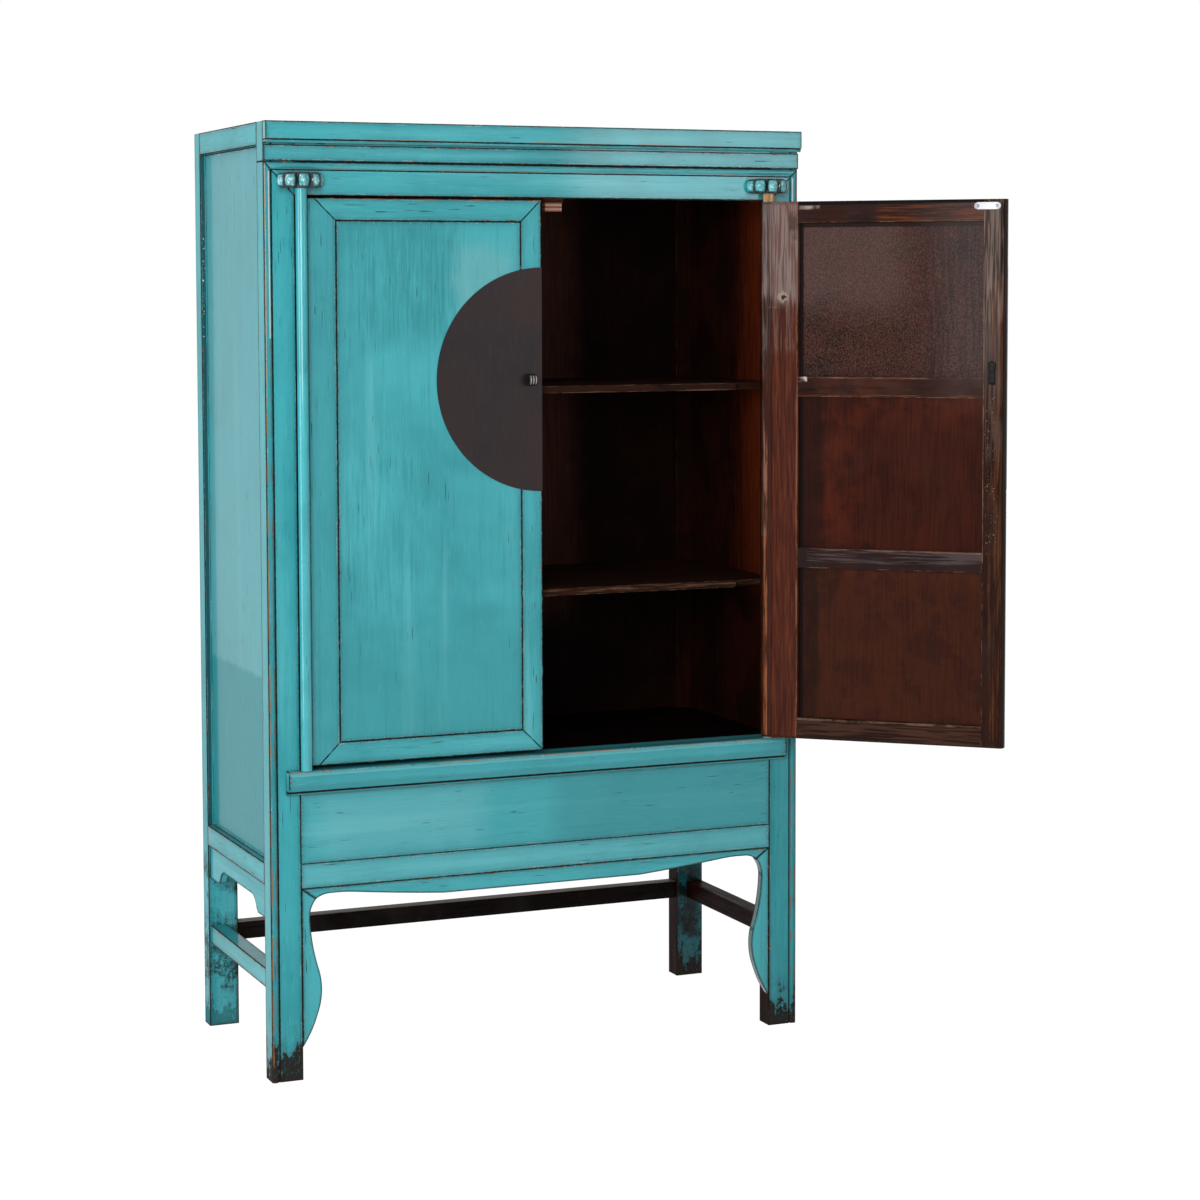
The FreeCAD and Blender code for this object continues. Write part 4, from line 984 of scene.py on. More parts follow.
def surface(
    name: str, points: np.ndarray, material: bpy.types.Material, hollow: Optional[np.ndarray] = None
) -> bpy.types.Object:
    """Make a closed smooth surface from a grid of points.

    The first and last column meet, and the first and last row either are single points or are
    closed off by a fan, because the doubles of a row that lies in one point are merged.

    Args:
        name: The piece's name.
        points: Rows by columns by 3, in metres.
        material: Its finish.
        hollow: Rows by columns of how deep in a hollow each point lies, from 0 to 1.

    Returns:
        The object, with its place in its mesh.
    """
    rows, columns = points.shape[:2]
    index = np.arange(rows * columns).reshape(rows, columns)
    index = np.hstack([index, index[:, :1]])
    quads = np.stack([index[:-1, :-1], index[:-1, 1:], index[1:, 1:], index[1:, :-1]], axis=-1)
    mesh = bpy.data.meshes.new(name)
    mesh.from_pydata(points.reshape(-1, 3).tolist(), [], quads.reshape(-1, 4).tolist())
    if hollow is not None:
        kept = mesh.attributes.new("hollow", "FLOAT", "POINT")
        kept.data.foreach_set("value", np.ascontiguousarray(hollow, dtype=np.float32).ravel())
    shape = bmesh.new()
    shape.from_mesh(mesh)
    bmesh.ops.remove_doubles(shape, verts=shape.verts, dist=2e-6)
    bmesh.ops.dissolve_degenerate(shape, edges=shape.edges, dist=1e-6)
    bmesh.ops.recalc_face_normals(shape, faces=shape.faces)
    shape.to_mesh(mesh)
    shape.free()
    mesh.shade_smooth()
    mesh.set_sharp_from_angle(angle=math.radians(38))
    mesh.materials.append(material)
    made = bpy.data.objects.new(name, mesh)
    bpy.context.scene.collection.objects.link(made)
    LOG.info("made %s", name)
    return made


def join(name: str, made: Sequence[bpy.types.Object]) -> bpy.types.Object:
    """Join surfaces into one object.

    Args:
        name: The joined piece's name.
        made: The surfaces.

    Returns:
        The joined object.
    """
    shape = bmesh.new()
    for item in made:
        shape.from_mesh(item.data)
    mesh = made[0].data
    shape.to_mesh(mesh)
    shape.free()
    for item in made[1:]:
        bpy.data.objects.remove(item)
    made[0].name = name
    mesh.name = name
    return made[0]


@dataclass
class Hinge:
    """Where a door turns and how its own coordinates lie.

    Attributes:
        side: -1 for the left door and 1 for the right one.
        opening: Degrees that it stands open at rest.
        axis: X and Y of the pivot's axis on the right, in metres.
    """

    side: int
    opening: float
    axis: tuple[float, float] = PIVOT

    def setting(self) -> Setting:
        """The setting that takes the pivot axis to the origin and X to the free edge.

        With the mirror M and the turn R, a point p goes to R M p - R M a, where a is the axis.
        """
        turn = math.radians(self.opening)
        moved = Matrix.Rotation(turn, 3, "Z") @ Vector((-self.axis[0], self.axis[1], 0.0))
        return Setting((-moved.x, -moved.y, 0.0), turn, self.side > 0)

    def world(self, points: np.ndarray) -> np.ndarray:
        """Take points of the door's own coordinates, in millimetres, to where they lie at rest.

        Args:
            points: Any grid whose last axis is X from the pivot, Y from the front and Z.

        Returns:
            The same grid in metres. X is mirrored on the right, and both are turned about the axis.
        """
        turn = math.radians(self.opening)
        x = -self.side * points[..., 0] * MM
        y = points[..., 1] * MM
        return np.stack([
            self.side * self.axis[0] + x * math.cos(turn) - y * math.sin(turn),
            self.axis[1] + x * math.sin(turn) + y * math.cos(turn),
            points[..., 2] * MM,
        ], axis=-1)


@dataclass
class PivotBracket:
    """Carved half round bracket of five ribbed lobes, bored from below for a door's upper pin.

    Sizes are in millimetres.

    Attributes:
        side: -1 on the left and 1 on the right.
        lacquer: Its finish.
        low: Height of its underside.
        tall: Its height.
        half_width: Half the width of the oval that the lobes stand on.
        depth: How far out that oval reaches.
        shares: Where the lobes stand, as shares of the way round.
        waist: A lobe's radius at its ends.
        belly: A lobe's radius at its middle.
        back: How far its flat back lies behind the pin's axis.
        inset: How far its walls and its top and underside are drawn in where they meet.
        rib: Height of the ribs on a lobe.
        bore: Radius of the hole.
        bore_depth: Depth of the hole.
        taper: The share of its height that it has lost at its ends.
        taper_from: How far beside the pin it starts to grow lower.
        taper_to: How far beside the pin it is lowest.
        columns: Points round its outline.
    """

    side: int
    lacquer: Lacquer
    low: float = 1677.0
    tall: float = 29.0
    half_width: float = 34.5
    depth: float = 26.5
    shares: tuple[float, ...] = (0.09, 0.29, 0.50, 0.71, 0.91)
    waist: float = 7.5
    belly: float = 11.5
    back: float = 13.0
    inset: float = 0.7
    rib: float = 0.35
    bore: float = 7.05
    bore_depth: float = 16.0
    taper: float = 0.34
    taper_from: float = 22.0
    taper_to: float = 46.0
    columns: int = 480

    def outline(self, level: np.ndarray, angle: np.ndarray) -> tuple[np.ndarray, np.ndarray]:
        """How far the carving reaches round the pin, and how deep in a hollow that is.

        A ray from the pin's axis meets the circle round c with radius r at
        c.d + sqrt((c.d)^2 - |c|^2 + r^2). The carving reaches the farthest of these and of the
        oval behind the lobes, but not past the flat back. The lobes' radius follows
        waist + (belly - waist) * sin(pi * level) ^ 0.8, with seven shallow ribs on each.

        Args:
            level: Shares of the height, one per row.
            angle: Angles round the pin's axis, one per column.

        Returns:
            Rows by columns of the reach in millimetres, and of the hollow from 0 to 1.
        """
        back = self.back
        toward = np.stack([np.cos(angle), np.sin(angle)], axis=-1)
        round_share = np.array(self.shares) * math.pi
        centres = np.stack([
            self.half_width * np.cos(round_share), back - self.depth * np.sin(round_share)
        ], axis=-1)
        swell = np.clip(np.sin(math.pi * np.clip(level, 0.0, 1.0)), 0.0, 1.0) ** 0.8
        radius = self.waist + (self.belly - self.waist) * swell
        along = centres @ toward.T
        away = (centres ** 2).sum(axis=1)[None, :, None]
        room = along[None] ** 2 - away + radius[:, None, None] ** 2
        hit = np.where(room > 0, along[None] + np.sqrt(np.maximum(room, 0.0)), 0.0)
        best = hit.argmax(axis=1)
        reach = hit.max(axis=1)
        centre = centres[best]
        touch = toward[None] * reach[..., None] - centre
        outward = centre - np.array([0.0, back])
        outward /= np.linalg.norm(outward, axis=-1, keepdims=True)
        facing = (touch * outward).sum(axis=-1) / np.maximum(np.linalg.norm(touch, axis=-1), 1e-6)
        turned = np.subtract(*(np.arctan2(way[..., 1], way[..., 0]) for way in (touch, outward)))
        oval_a = (toward[:, 0] / self.half_width) ** 2 + (toward[:, 1] / self.depth) ** 2
        oval_b = -2.0 * toward[:, 1] * back / self.depth ** 2
        oval_c = (back / self.depth) ** 2 - 1.0
        oval = (-oval_b + np.sqrt(oval_b ** 2 - 4.0 * oval_a * oval_c)) / (2.0 * oval_a)
        behind = np.broadcast_to(oval[None], reach.shape)
        hollow = np.where(reach > behind, np.clip((0.86 - facing) / 0.5, 0.0, 1.0), 1.0)
        ribs = self.rib * np.cos(7.0 * turned) * (1.0 - hollow) * swell[:, None]
        reach = np.maximum(reach + ribs, behind)
        stop = np.where(toward[:, 1] > 1e-6, back / np.maximum(toward[:, 1], 1e-6), 1e6)
        return np.minimum(reach, stop[None]), hollow

    def build(self, material: bpy.types.Material) -> bpy.types.Object:
        """Build the bracket.

        The profile runs from the hole's ceiling down the hole, out over the underside, up the
        lobes and in over the top. Towards the ends it grows lower by taper * q^2, where q runs
        from 0 to 1 between taper_from and taper_to beside the pin.

        Args:
            material: Its finish.

        Returns:
            The object.
        """
        angle = full_turn(self.columns)
        level = np.array([0.0, *np.linspace(0.02, 0.98, 21), 1.0])
        wall, hollow = self.outline(level, angle)
        first, last = wall[0] - self.inset, wall[-1] - self.inset
        hole, nothing = np.full_like(angle, self.bore), np.zeros_like(angle)
        low, high = self.low, self.low + self.tall
        ceiling = low + self.bore_depth
        reach = np.array([nothing, hole, hole, (hole + first) / 2, first, *wall,
                          last, last * 0.6, last * 0.25, nothing])
        risen = low + self.inset + level * (self.tall - 2.0 * self.inset)
        height = np.array([ceiling, ceiling, low, low, low, *risen, high, high, high, high])[:, None]
        beside = np.abs(reach * np.cos(angle)) - self.taper_from
        out = np.clip(beside / (self.taper_to - self.taper_from), 0.0, 1.0)
        middle = low + self.tall / 2
        height = middle + (height - middle) * (1.0 - self.taper * out ** 2)
        deep = np.vstack([
            np.ones((4, self.columns)), hollow[:1], hollow, hollow[-1:], np.zeros((3, self.columns))
        ])
        x = self.side * PIVOT[0] + reach * np.cos(angle) * MM
        y = PIVOT[1] + reach * np.sin(angle) * MM
        name = side_name(self.side)
        made = surface(f"{name}_carved_bracket", np.stack([x, y, height * MM], axis=-1), material, deep)
        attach(made, "cabinet")
        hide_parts(f"{name}_pivot_bracket")
        return made

    def finish(self, seed: int) -> bpy.types.Material:
        """Lacquer that is worn dark in the hollows and pale on the ribs, where the white specks are painted
        highlights.

        Args:
            seed: Sets its pattern apart.

        Returns:
            The material.
        """
        name = side_name(self.side)
        graph = Graph(f"lacquer_{name}_carving")
        low, high = self.low * MM, (self.low + self.tall) * MM
        bounds = ((-1.0, -1.0, low - 0.1), (1.0, 1.0, high + 0.1))
        ground = Ground(graph, Setting(), Piece(name, Grain.UPRIGHT), bounds, seed)
        coat = self.lacquer.lay(ground)
        kept = {"attribute_type": "GEOMETRY", "attribute_name": "hollow"}
        hollow = Number(graph, graph.node("ShaderNodeAttribute", kept).outputs["Fac"])
        ragged = graph.noise(ground.loose, 240.0, 3.0, 0.6)
        worn = graph.noise(ground.loose, 120.0, 4.0, 0.7)
        ends = abs(ground.z - (low + high) / 2).rise(6.5 * MM, 13.5 * MM)
        outer = abs(abs(ground.x) - PIVOT[0]).rise(16.0 * MM, 36.0 * MM) * 0.5
        dirt = (hollow + outer * 0.3 + (ragged - 0.5) * 1.1).rise(0.5, 0.95)
        dirt = dirt.most((ends + (ragged - 0.5) + outer * 0.3).rise(0.35, 0.85))
        coat.colour = graph.layers(
            coat.colour,
            (worn.rise(0.5, 0.68) * 0.5, srgb(110, 146, 142)),
            # White specks: painted highlights.
            (worn.rise(0.6, 0.46) * ragged.rise(0.46, 0.56) * 0.85, srgb(206, 224, 220)),
            (dirt * 0.95, srgb(26, 23, 21))
        )
        coat.rough = graph.blend(dirt, 0.28, 0.5)
        return finish(graph, coat, relief=0.4 * MM)


@dataclass
class LockStaple:
    """Lock staple: a leaved nose with a round eye in front of the moon plate, and two tails behind.

    Sizes are in millimetres in the door's own coordinates.

    Attributes:
        centre: Its distance from the pivot axis.
        half_width: Half its width.
        half_height: Half its height, and the radius of its nose.
        eye: Radius of the eye.
        eye_y: Where the eye's axis lies from front to back.
        plate_y: The plate's front.
        back_y: The door's back, where the tails lie.
        middle: Height of the eye's axis.
        leaves: How many leaves the nose is made of.
        bulge: How far each leaf bulges.
        tail_half: Half a tail's width.
        tail_lift: How far a tail's middle stands off the door's back.
        tail_thick: Half a tail's thickness.
    """

    centre: float = 455.0
    half_width: float = 8.0
    half_height: float = 11.0
    eye: float = 4.0
    eye_y: float = -3.0
    plate_y: float = 8.0
    back_y: float = 35.0
    middle: float = 1316.0
    leaves: int = 3
    bulge: float = 1.3
    tail_half: float = 7.0
    tail_lift: float = 1.4
    tail_thick: float = 1.9

    def nose(self) -> np.ndarray:
        """The nose as a ring round the eye.

        Round the eye's axis the nose reaches its half height in front, and a square behind, where
        it meets the plate. Across its width each leaf falls short of that by
        bulge * (1 - sqrt(1 - 0.96 q^2)), where q runs from -1 to 1 over the leaf.

        Returns:
            Rows by columns by 3, in millimetres.
        """
        turn = full_turn(96)
        front, up = -np.cos(turn), np.sin(turn)
        deep = self.plate_y - self.eye_y
        square = np.minimum(
            deep / np.maximum(front, 1e-6), self.half_height / np.maximum(np.abs(up), 1e-6)
        )
        reach = np.where(front > 0, square, self.half_height)
        width = np.linspace(-1.0, 1.0, 49)
        leaf = ((width + 1.0) / 2.0 * self.leaves) % 1.0 * 2.0 - 1.0
        leaf[-1] = 1.0
        outer = reach[None] + self.bulge * (np.sqrt(1.0 - 0.96 * leaf[:, None] ** 2) - 1.0)
        eye = np.full(turn.size, self.eye)
        rows = np.array([eye, (eye + outer[0]) / 2, *outer, (eye + outer[-1]) / 2, eye])
        across = np.concatenate([[-1.0, -1.0], width, [1.0, 1.0]]) * self.half_width
        ring = np.stack([
            self.centre + across[:, None] + np.zeros_like(rows),
            self.eye_y + rows * front, self.middle + rows * up
        ], axis=-1)
        return np.concatenate([ring, ring[:1]])

    @staticmethod
    def squared(value: np.ndarray) -> np.ndarray:
        """Push sines or cosines towards 1, which squares a circle."""
        return np.sign(value) * np.abs(value) ** 0.55

    def tail(self, height: float, half: float, seed: int) -> np.ndarray:
        """A hammered tail: a pad with rounded sides whose radius wavers round it.

        Along each axis a point lies at sign(c) |c| ** 0.55 times the half size, where c is that
        axis's sine or cosine at latitude v and longitude w.

        Args:
            height: Its middle.
            half: Half its height.
            seed: Sets its dents apart.

        Returns:
            Rows by columns by 3, in millimetres.
        """
        v = np.linspace(-math.pi / 2, math.pi / 2, 25)[:, None]
        w = full_turn(48)[None]
        dent = 1.0 + 0.05 * np.sin(3 * w + seed) * np.cos(v) + 0.04 * np.cos(5 * w - 2 * seed) * np.cos(v)
        waist = self.squared(np.cos(v)) * dent
        out = self.squared(np.sin(v)) + np.zeros_like(w)
        return np.stack([
            self.centre + self.tail_half * waist * self.squared(np.cos(w)),
            self.back_y + self.tail_lift + self.tail_thick * out,
            height + half * waist * self.squared(np.sin(w))
        ], axis=-1)

    def build(self, name: str, hinge: Hinge, material: bpy.types.Material) -> bpy.types.Object:
        """Build the staple in place of its plain solid.

        Args:
            name: left or right.
            hinge: The door's hinge.
            material: Its finish.

        Returns:
            The object.
        """
        parts = [
            surface("nose", hinge.world(self.nose()), material),
            surface("tail_a", hinge.world(self.tail(self.middle + 20.5, 12.0, 1)), material),
            surface("tail_b", hinge.world(self.tail(self.middle - 0.5, 12.5, 4)), material),
        ]
        made = join(f"{name}_leaved_staple", parts)
        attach(made, f"{name}_door")
        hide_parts(f"{name}_door_lock_staple")
        return made


@dataclass
class StrikePlate:
    """Round-ended steel strike plate with two domed, cross-slotted screws.

    Sizes are in millimetres in the door's own coordinates.

    Attributes:
        near: Its end nearer to the pivot.
        far: Its other end.
        half: Half its height.
        middle: Height of its middle.
        back_y: The door's back.
        thick: Its thickness.
        screw_inset: How far a screw lies from its end.
        screw_radius: Radius of a screw's head.
        columns: Points round it and round a screw.
    """

    near: float = 418.75
    far: float = 470.75
    half: float = 7.0
    middle: float = 1647.0
    back_y: float = 35.0
    thick: float = 1.2
    screw_inset: float = 7.0
    screw_radius: float = 3.6
    columns: int = 96

    def plate(self) -> np.ndarray:
        """The plate: a round-ended outline at shares of its size, each at a share of its thickness."""
        turn = full_turn(self.columns)
        straight = (self.far - self.near) / 2 - self.half
        rows = [(0.0, 0.0), (1.0, 0.0), (1.0, 0.75), (0.96, 1.0), (0.8, 1.0), (0.0, 1.0)]
        share, rise = np.array(rows).T[:, :, None]
        reach = np.sign(np.cos(turn)) * straight * np.minimum(1.0, share * 1.02)
        x = (self.near + self.far) / 2 + reach + share * self.half * np.cos(turn)
        z = self.middle + share * self.half * np.sin(turn)
        y = self.back_y + 0.02 + rise * self.thick + np.zeros_like(x)
        return np.stack([x, y, z], axis=-1)

    def screw(self, place: float, lean: float) -> np.ndarray:
        """A screw head: a dome 0.15 + 0.75 (1 - s^2) high over the plate, with a cross cut into it.

        The cut is 0.55 deep where either arm of the cross is nearer than 0.3 mm, and it runs out
        at 0.6 mm and at 2.6 mm from the middle.

        Args:
            place: Its distance from the pivot axis.
            lean: How far its cross is turned, in radians.

        Returns:
            Rows by columns by 3, in millimetres.
        """
        share = np.linspace(0.0, 1.0, 22)[:, None]
        turn = full_turn(self.columns)[None]
        out = share * self.screw_radius
        a, b = out * np.cos(turn), out * np.sin(turn)
        c, d = math.cos(lean), math.sin(lean)
        near_arm = np.minimum(np.abs(a * c + b * d), np.abs(b * c - a * d))
        cut = np.clip((0.6 - near_arm) / 0.3, 0.0, 1.0) * np.clip((2.6 - out) / 0.4, 0.0, 1.0)
        face = self.back_y + self.thick
        y = face + 0.15 + 0.75 * (1.0 - share ** 2) - 0.55 * cut
        y[-1] = face - 0.2
        top = np.stack([place + a, y, self.middle + b], axis=-1)
        under = np.broadcast_to([place, face - 0.2, self.middle], (1, self.columns, 3))
        return np.concatenate([top, under])

    def build(self, name: str, hinge: Hinge, material: bpy.types.Material) -> bpy.types.Object:
        """Build the plate and its screws in place of the plain solid.

        Args:
            name: left or right.
            hinge: The door's hinge.
            material: Its finish.

        Returns:
            The object.
        """
        parts = [
            surface("plate", hinge.world(self.plate()), material),
            surface("screw_a", hinge.world(self.screw(self.near + self.screw_inset, 0.4)), material),
            surface("screw_b", hinge.world(self.screw(self.far - self.screw_inset, 1.1)), material),
        ]
        made = join(f"{name}_screwed_strike", parts)
        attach(made, f"{name}_door")
        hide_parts(f"{name}_door_strike_plate")
        return made


def marks(*rows: tuple) -> tuple[Mark, ...]:
    """Marks, each from its colour, strength, X, Z, softness and pattern, as far as they are given."""
    return tuple(Mark(*row) for row in rows)


@dataclass
class CabinetBody:
    """The fixed frame, its panels and its cornice.

    Sizes are in millimetres, from the middle of the cabinet and from the floor.

    Attributes:
        frame: The loaded frame.
        lacquer: The finish outside.
        inside: The finish inside.
        outer: The posts' outer faces.
        inner: The posts' inner faces, where the leg brackets start.
        depth: The posts' front and rear faces.
        shoulder: The faces of the posts that look at each other from front to back.
        lining: How deep a rail behind the shoulder is still lacquered.
        head: From and to of the head rail.
        lower_panel: From and to of the lower front panel, whose foot is the side panels' foot too.
        apron_top: The top of the apron and the leg brackets.
    """

    frame: dict
    lacquer: Lacquer = Lacquer()
    inside: DarkWood = DarkWood(
        main=srgb(24, 10, 6), red=srgb(40, 15, 8), pale=srgb(34, 24, 20), black=srgb(6, 4, 3),
        edge=srgb(70, 50, 40), sheen=0.15, worn=0.4, wax=0.0
    )
    outer: float = 550.0
    inner: float = 490.0
    depth: float = 245.0
    shoulder: float = 203.0
    lining: float = -204.0
    head: tuple[float, float] = (1664.0, 1726.0)
    lower_panel: tuple[float, float] = (412.0, 545.0)
    apron_top: float = 365.0

    def mitre(self, side: int) -> Line:
        """The mitre between post and head rail."""
        return Line.through(side * self.inner, self.head[0], side * self.outer, self.head[1])

    def apron_mitre(self, side: int) -> Line:
        """The mitre between leg bracket and apron."""
        return Line.through(side * self.inner, self.apron_top, side * 461.1, 344)

    @staticmethod
    def bracket_shade(side: int) -> Mark:
        """Dark painted shade on the head rail and post round a pivot bracket."""
        return Mark(srgb(20, 52, 54), 0.42, sorted_pair(side, 444, 518), (1676, 1705), 11.0)

    @staticmethod
    def rubbed_line(strength: float, low: float, high: float) -> Mark:
        """A fine brown line between two heights, where a level arris is rubbed through."""
        return Mark(
            srgb(150, 104, 62), strength, z=(low, high), soft=0.5, pattern=Pattern.STREAK, over=True
        )

    def front_pieces(self) -> list[Piece]:
        """The pieces across the front, with the way their grain runs and where they turn inside."""
        across, line = Grain.ACROSS, self.rubbed_line
        wide, post_depth = (-self.outer, self.outer), (-self.depth, -self.shoulder)
        between, flush = (-self.inner, self.inner), 0.5 - self.depth
        # Pale haze that is a painted reflection on the lower panel and lower rail.
        painted_reflection = srgb(150, 205, 210)
        return [
            Piece(
                "head_rail", across, span(wide, post_depth, self.head),
                (Line.level(1711.0, 1.1), self.mitre(1), self.mitre(-1)),
                # The two bracket marks are painted shade round the pivot brackets.
                (self.bracket_shade(1), self.bracket_shade(-1), line(0.8, 1712.4, 1714.6), line(0.35, 1665.4, 1667.0)),
                back_y=self.lining, rubbed=0.2, broken=0.1
            ),
            Piece("upper_front_rail", across, back_y=self.lining, rubbed=0.4),
            Piece(
                "cornice_cap", across, None, (Line.level(1766.0, 1.1),), (line(0.7, 1767.4, 1769.2),),
                rubbed=0.25, broken=0.15
            ),
            Piece("cornice_frieze", across, rubbed=0.45, broken=0.1),
            Piece(
                "sill_moulding", across, None, (Line.level(551.0, 2.4),),
                (
                    # The darker band below the nose is painted shade, and the pale line near the top a
                    # painted highlight.
                    Mark(srgb(26, 116, 122), 0.5, z=(540, 562), soft=8.0),
                    Mark(srgb(48, 144, 152), 0.4, z=(540, 592)),
                    Mark(srgb(120, 200, 206), 0.5, z=(583, 588), soft=2.0),
                    line(0.7, 588.4, 590.4),
                ), rubbed=0.2, broken=0.1
            ),
            Piece("sill_rail", across, back_y=self.lining),
            Piece(
                "lower_front_panel", across, span(between, (flush, -230.5), self.lower_panel), (),
                marks(
                    (srgb(40, 136, 144), 0.3),
                    # A painted reflection on the panel's left part.
                    (painted_reflection, 0.14, (-420, -160), (450, 510), 70.0),
                    # Darker towards the right: painted shade where the light falls off.
                    (srgb(28, 120, 126), 0.4, (60, 460), (430, 510), 70.0)
                ), back_y=-232, rubbed=0.0, broken=0.2, lined=0.55
            ),
            Piece(
                "lower_front_rail", across,
                span(between, post_depth, (self.apron_top, self.lower_panel[0])),
                # The whole rail carries the painted reflection.
                marks=(Mark(painted_reflection, 0.14),), back_y=self.lining, rubbed=0.0, broken=0.2, lined=0.55
            ),
            Piece(
                "shaped_apron", across, span((-900, 900), (flush, -200), (100, self.apron_top)),
                (self.apron_mitre(1), self.apron_mitre(-1)), back_y=-229.5, curved=True, lined=0.6
            ),
            Piece("top_rear_rail", across, back_y=self.depth - 0.5),
            Piece("lower_rear_rail", across, back_y=0.0),
        ]

    def post_marks(self, side: int) -> tuple[tuple[Mark, ...], tuple[Mark, ...]]:
        """The painted highlight, painted shade and wear of a front and a rear post.

        Args:
            side: -1 or 1.

        Returns:
            The front post's marks, and the rear post's.
        """
        cloud = Pattern.CLOUD
        bead = {"y": (-247.0, -240.0), "over": True}
        joint = {"y": (200, 206), "over": True}
        strip = sorted_pair(side, 541.0, 547.0)
        # A painted highlight along the inner flank of the bead.
        bead_highlight = Mark(srgb(214, 232, 230), 0.85, sorted_pair(side, 538.6, 540.8), (1400, 1708), 0.5, **bead)
        brown = Mark(
            srgb(122, 76, 44), 0.8, sorted_pair(side, 538.4, 540.4), (90, 1400), 0.5, cloud, **bead
        )
        rubbed = Mark(
            srgb(134, 86, 50), 0.85, sorted_pair(side, 546.6, 548.8), soft=0.6, pattern=cloud, **bead
        )
        # Painted shade, stronger on the right post, where the light falls off.
        shade = Mark(srgb(28, 104, 112), 0.36 if side > 0 else 0.08)
        rear = (
            Mark(srgb(34, 58, 66), 0.85, strip, (404, 1765), 1.0, **joint),
            Mark(srgb(232, 240, 240), 0.9, strip, (1380, 1640), 0.6, Pattern.SPECK, **joint),
        )
        if side > 0:
            # Painted shade on the right rear post, from the floor to under the apron.
            rear = (
                Mark(srgb(16, 66, 76), 0.75, z=(-50, 330), soft=30.0),
                Mark(srgb(20, 34, 36), 0.85, z=(60, 330), soft=50.0, pattern=cloud),
                *rear
            )
        # The last mark is painted shade round the pivot bracket.
        return (shade, rubbed, bead_highlight, brown, self.bracket_shade(side)), rear

    def side_pieces(self, side: int) -> list[Piece]:
        """The pieces of one side.

        Args:
            side: -1 or 1.

        Returns:
            The pieces.
        """
        name = side_name(side)
        deep, upright = Grain.DEEP, Grain.UPRIGHT
        post, rail = (self.inner, self.outer), (508, self.outer)
        foot_to_top, between = (0, 1900), (-self.shoulder, self.shoulder)
        front_marks, rear_marks = self.post_marks(side)
        # low darkens the side panel below the edge of its painted reflection.
        low = Mark(srgb(16, 124, 132), 0.7, z=(-50, 752), soft=12.0)
        if side > 0:
            low = replace(low, strength=0.4, z=(-50, 560), soft=220.0)
        # glow and fine are a painted pool of light on the inner face near the front opening, with its
        # grain.
        glow = Mark(srgb(100, 38, 17), 0.42, y=(-204, -110), z=(930, 1790), soft=100.0)
        fine = Mark(srgb(128, 52, 24), 0.22, y=(-204, -60), z=(930, 1790), soft=90.0, pattern=Pattern.COMB)
        cut = Mark(srgb(72, 54, 40), 0.7, y=(-243.4, -228), soft=0.8, over=True)
        return [
            Piece(
                f"front_{name}_post", upright,
                sided(side, post, (-self.depth, -self.shoulder), foot_to_top),
                (Line.upright(side * 534.7, 1.2), self.mitre(side)), front_marks,
                inner_x=491, niche=(524.5, -206, -202, 388, 1784), foot=1.0, rubbed=0.12, broken=0.1,
                polish=0.5
            ),
            Piece(
                f"rear_{name}_post", upright, sided(side, post, (self.shoulder, self.depth), foot_to_top),
                (), rear_marks, inner_x=491, back_y=244.6, niche=(524.5, 202, 206, 388, 1784),
                foot=0.45 if side < 0 else 1.0, smudges=(315.0, 190.0, 120.0), rubbed=0.3, polish=0.35
            ),
            *(
                Piece(f"{name}_{place}_rail", deep, sided(side, rail, between, z), inner_x=509, polish=0.4)
                for place, z in (("top", (1757, 1800)), ("lower", (371, 412)))
            ),
            Piece(
                # The side panel's greyer colour is a painted reflection, and low the darker part below it.
                f"{name}_side_panel", upright, sided(side, (524, 538), between, (412, 1757)), (),
                # glow and fine are painted light inside.
                (Mark(srgb(86, 150, 158), 0.75), low), (glow, fine), inner_x=525, rubbed=0.4, broken=0.1,
                chipped=0.95, polish=0.3
            ),
            Piece(
                f"{name}_side_apron", deep, sided(side, (500, 545.5), between, (100, 371)),
                inner_x=530, curved=True, polish=0.4
            ),
            Piece(
                f"{name}_side_stretcher", deep, inner_x=515 if side < 0 else 545.4, rubbed=0.4, polish=0.4
            ),
            Piece(
                f"{name}_leg_bracket", upright,
                sided(side, (300, self.inner), (0.5 - self.depth, -200), (-100, self.apron_top)),
                (self.apron_mitre(side), Line.upright(side * self.inner, 1.2)), (cut,), back_y=-229.5,
                curved=True
            ),
        ]

    def coat_for(self, ground: Ground) -> Coat:
        """Lacquer outside and dark wood inside.

        Args:
            ground: The piece's coordinates.

        Returns:
            What the piece shows at each point.
        """
        coat = self.lacquer.lay(ground)
        mask = ground.inside()
        if mask is None:
            return coat
        return overlay(ground.graph, mask, coat, self.inside.lay(ground))

    def build(self) -> None:
        """Dress every outside piece and carve the brackets."""
        pieces = self.front_pieces() + self.side_pieces(-1) + self.side_pieces(1)
        for seed, piece in enumerate(pieces, start=1):
            graph = Graph(f"lacquer_{piece.node}")
            ground = Ground(graph, Setting(), piece, piece.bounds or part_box(piece.node), seed)
            dress(piece.node, finish(graph, self.coat_for(ground), bevel=1.2 * MM), self.frame)
        for side in (-1, 1):
            bracket = PivotBracket(side, self.lacquer)
            bracket.build(bracket.finish(40 + side))


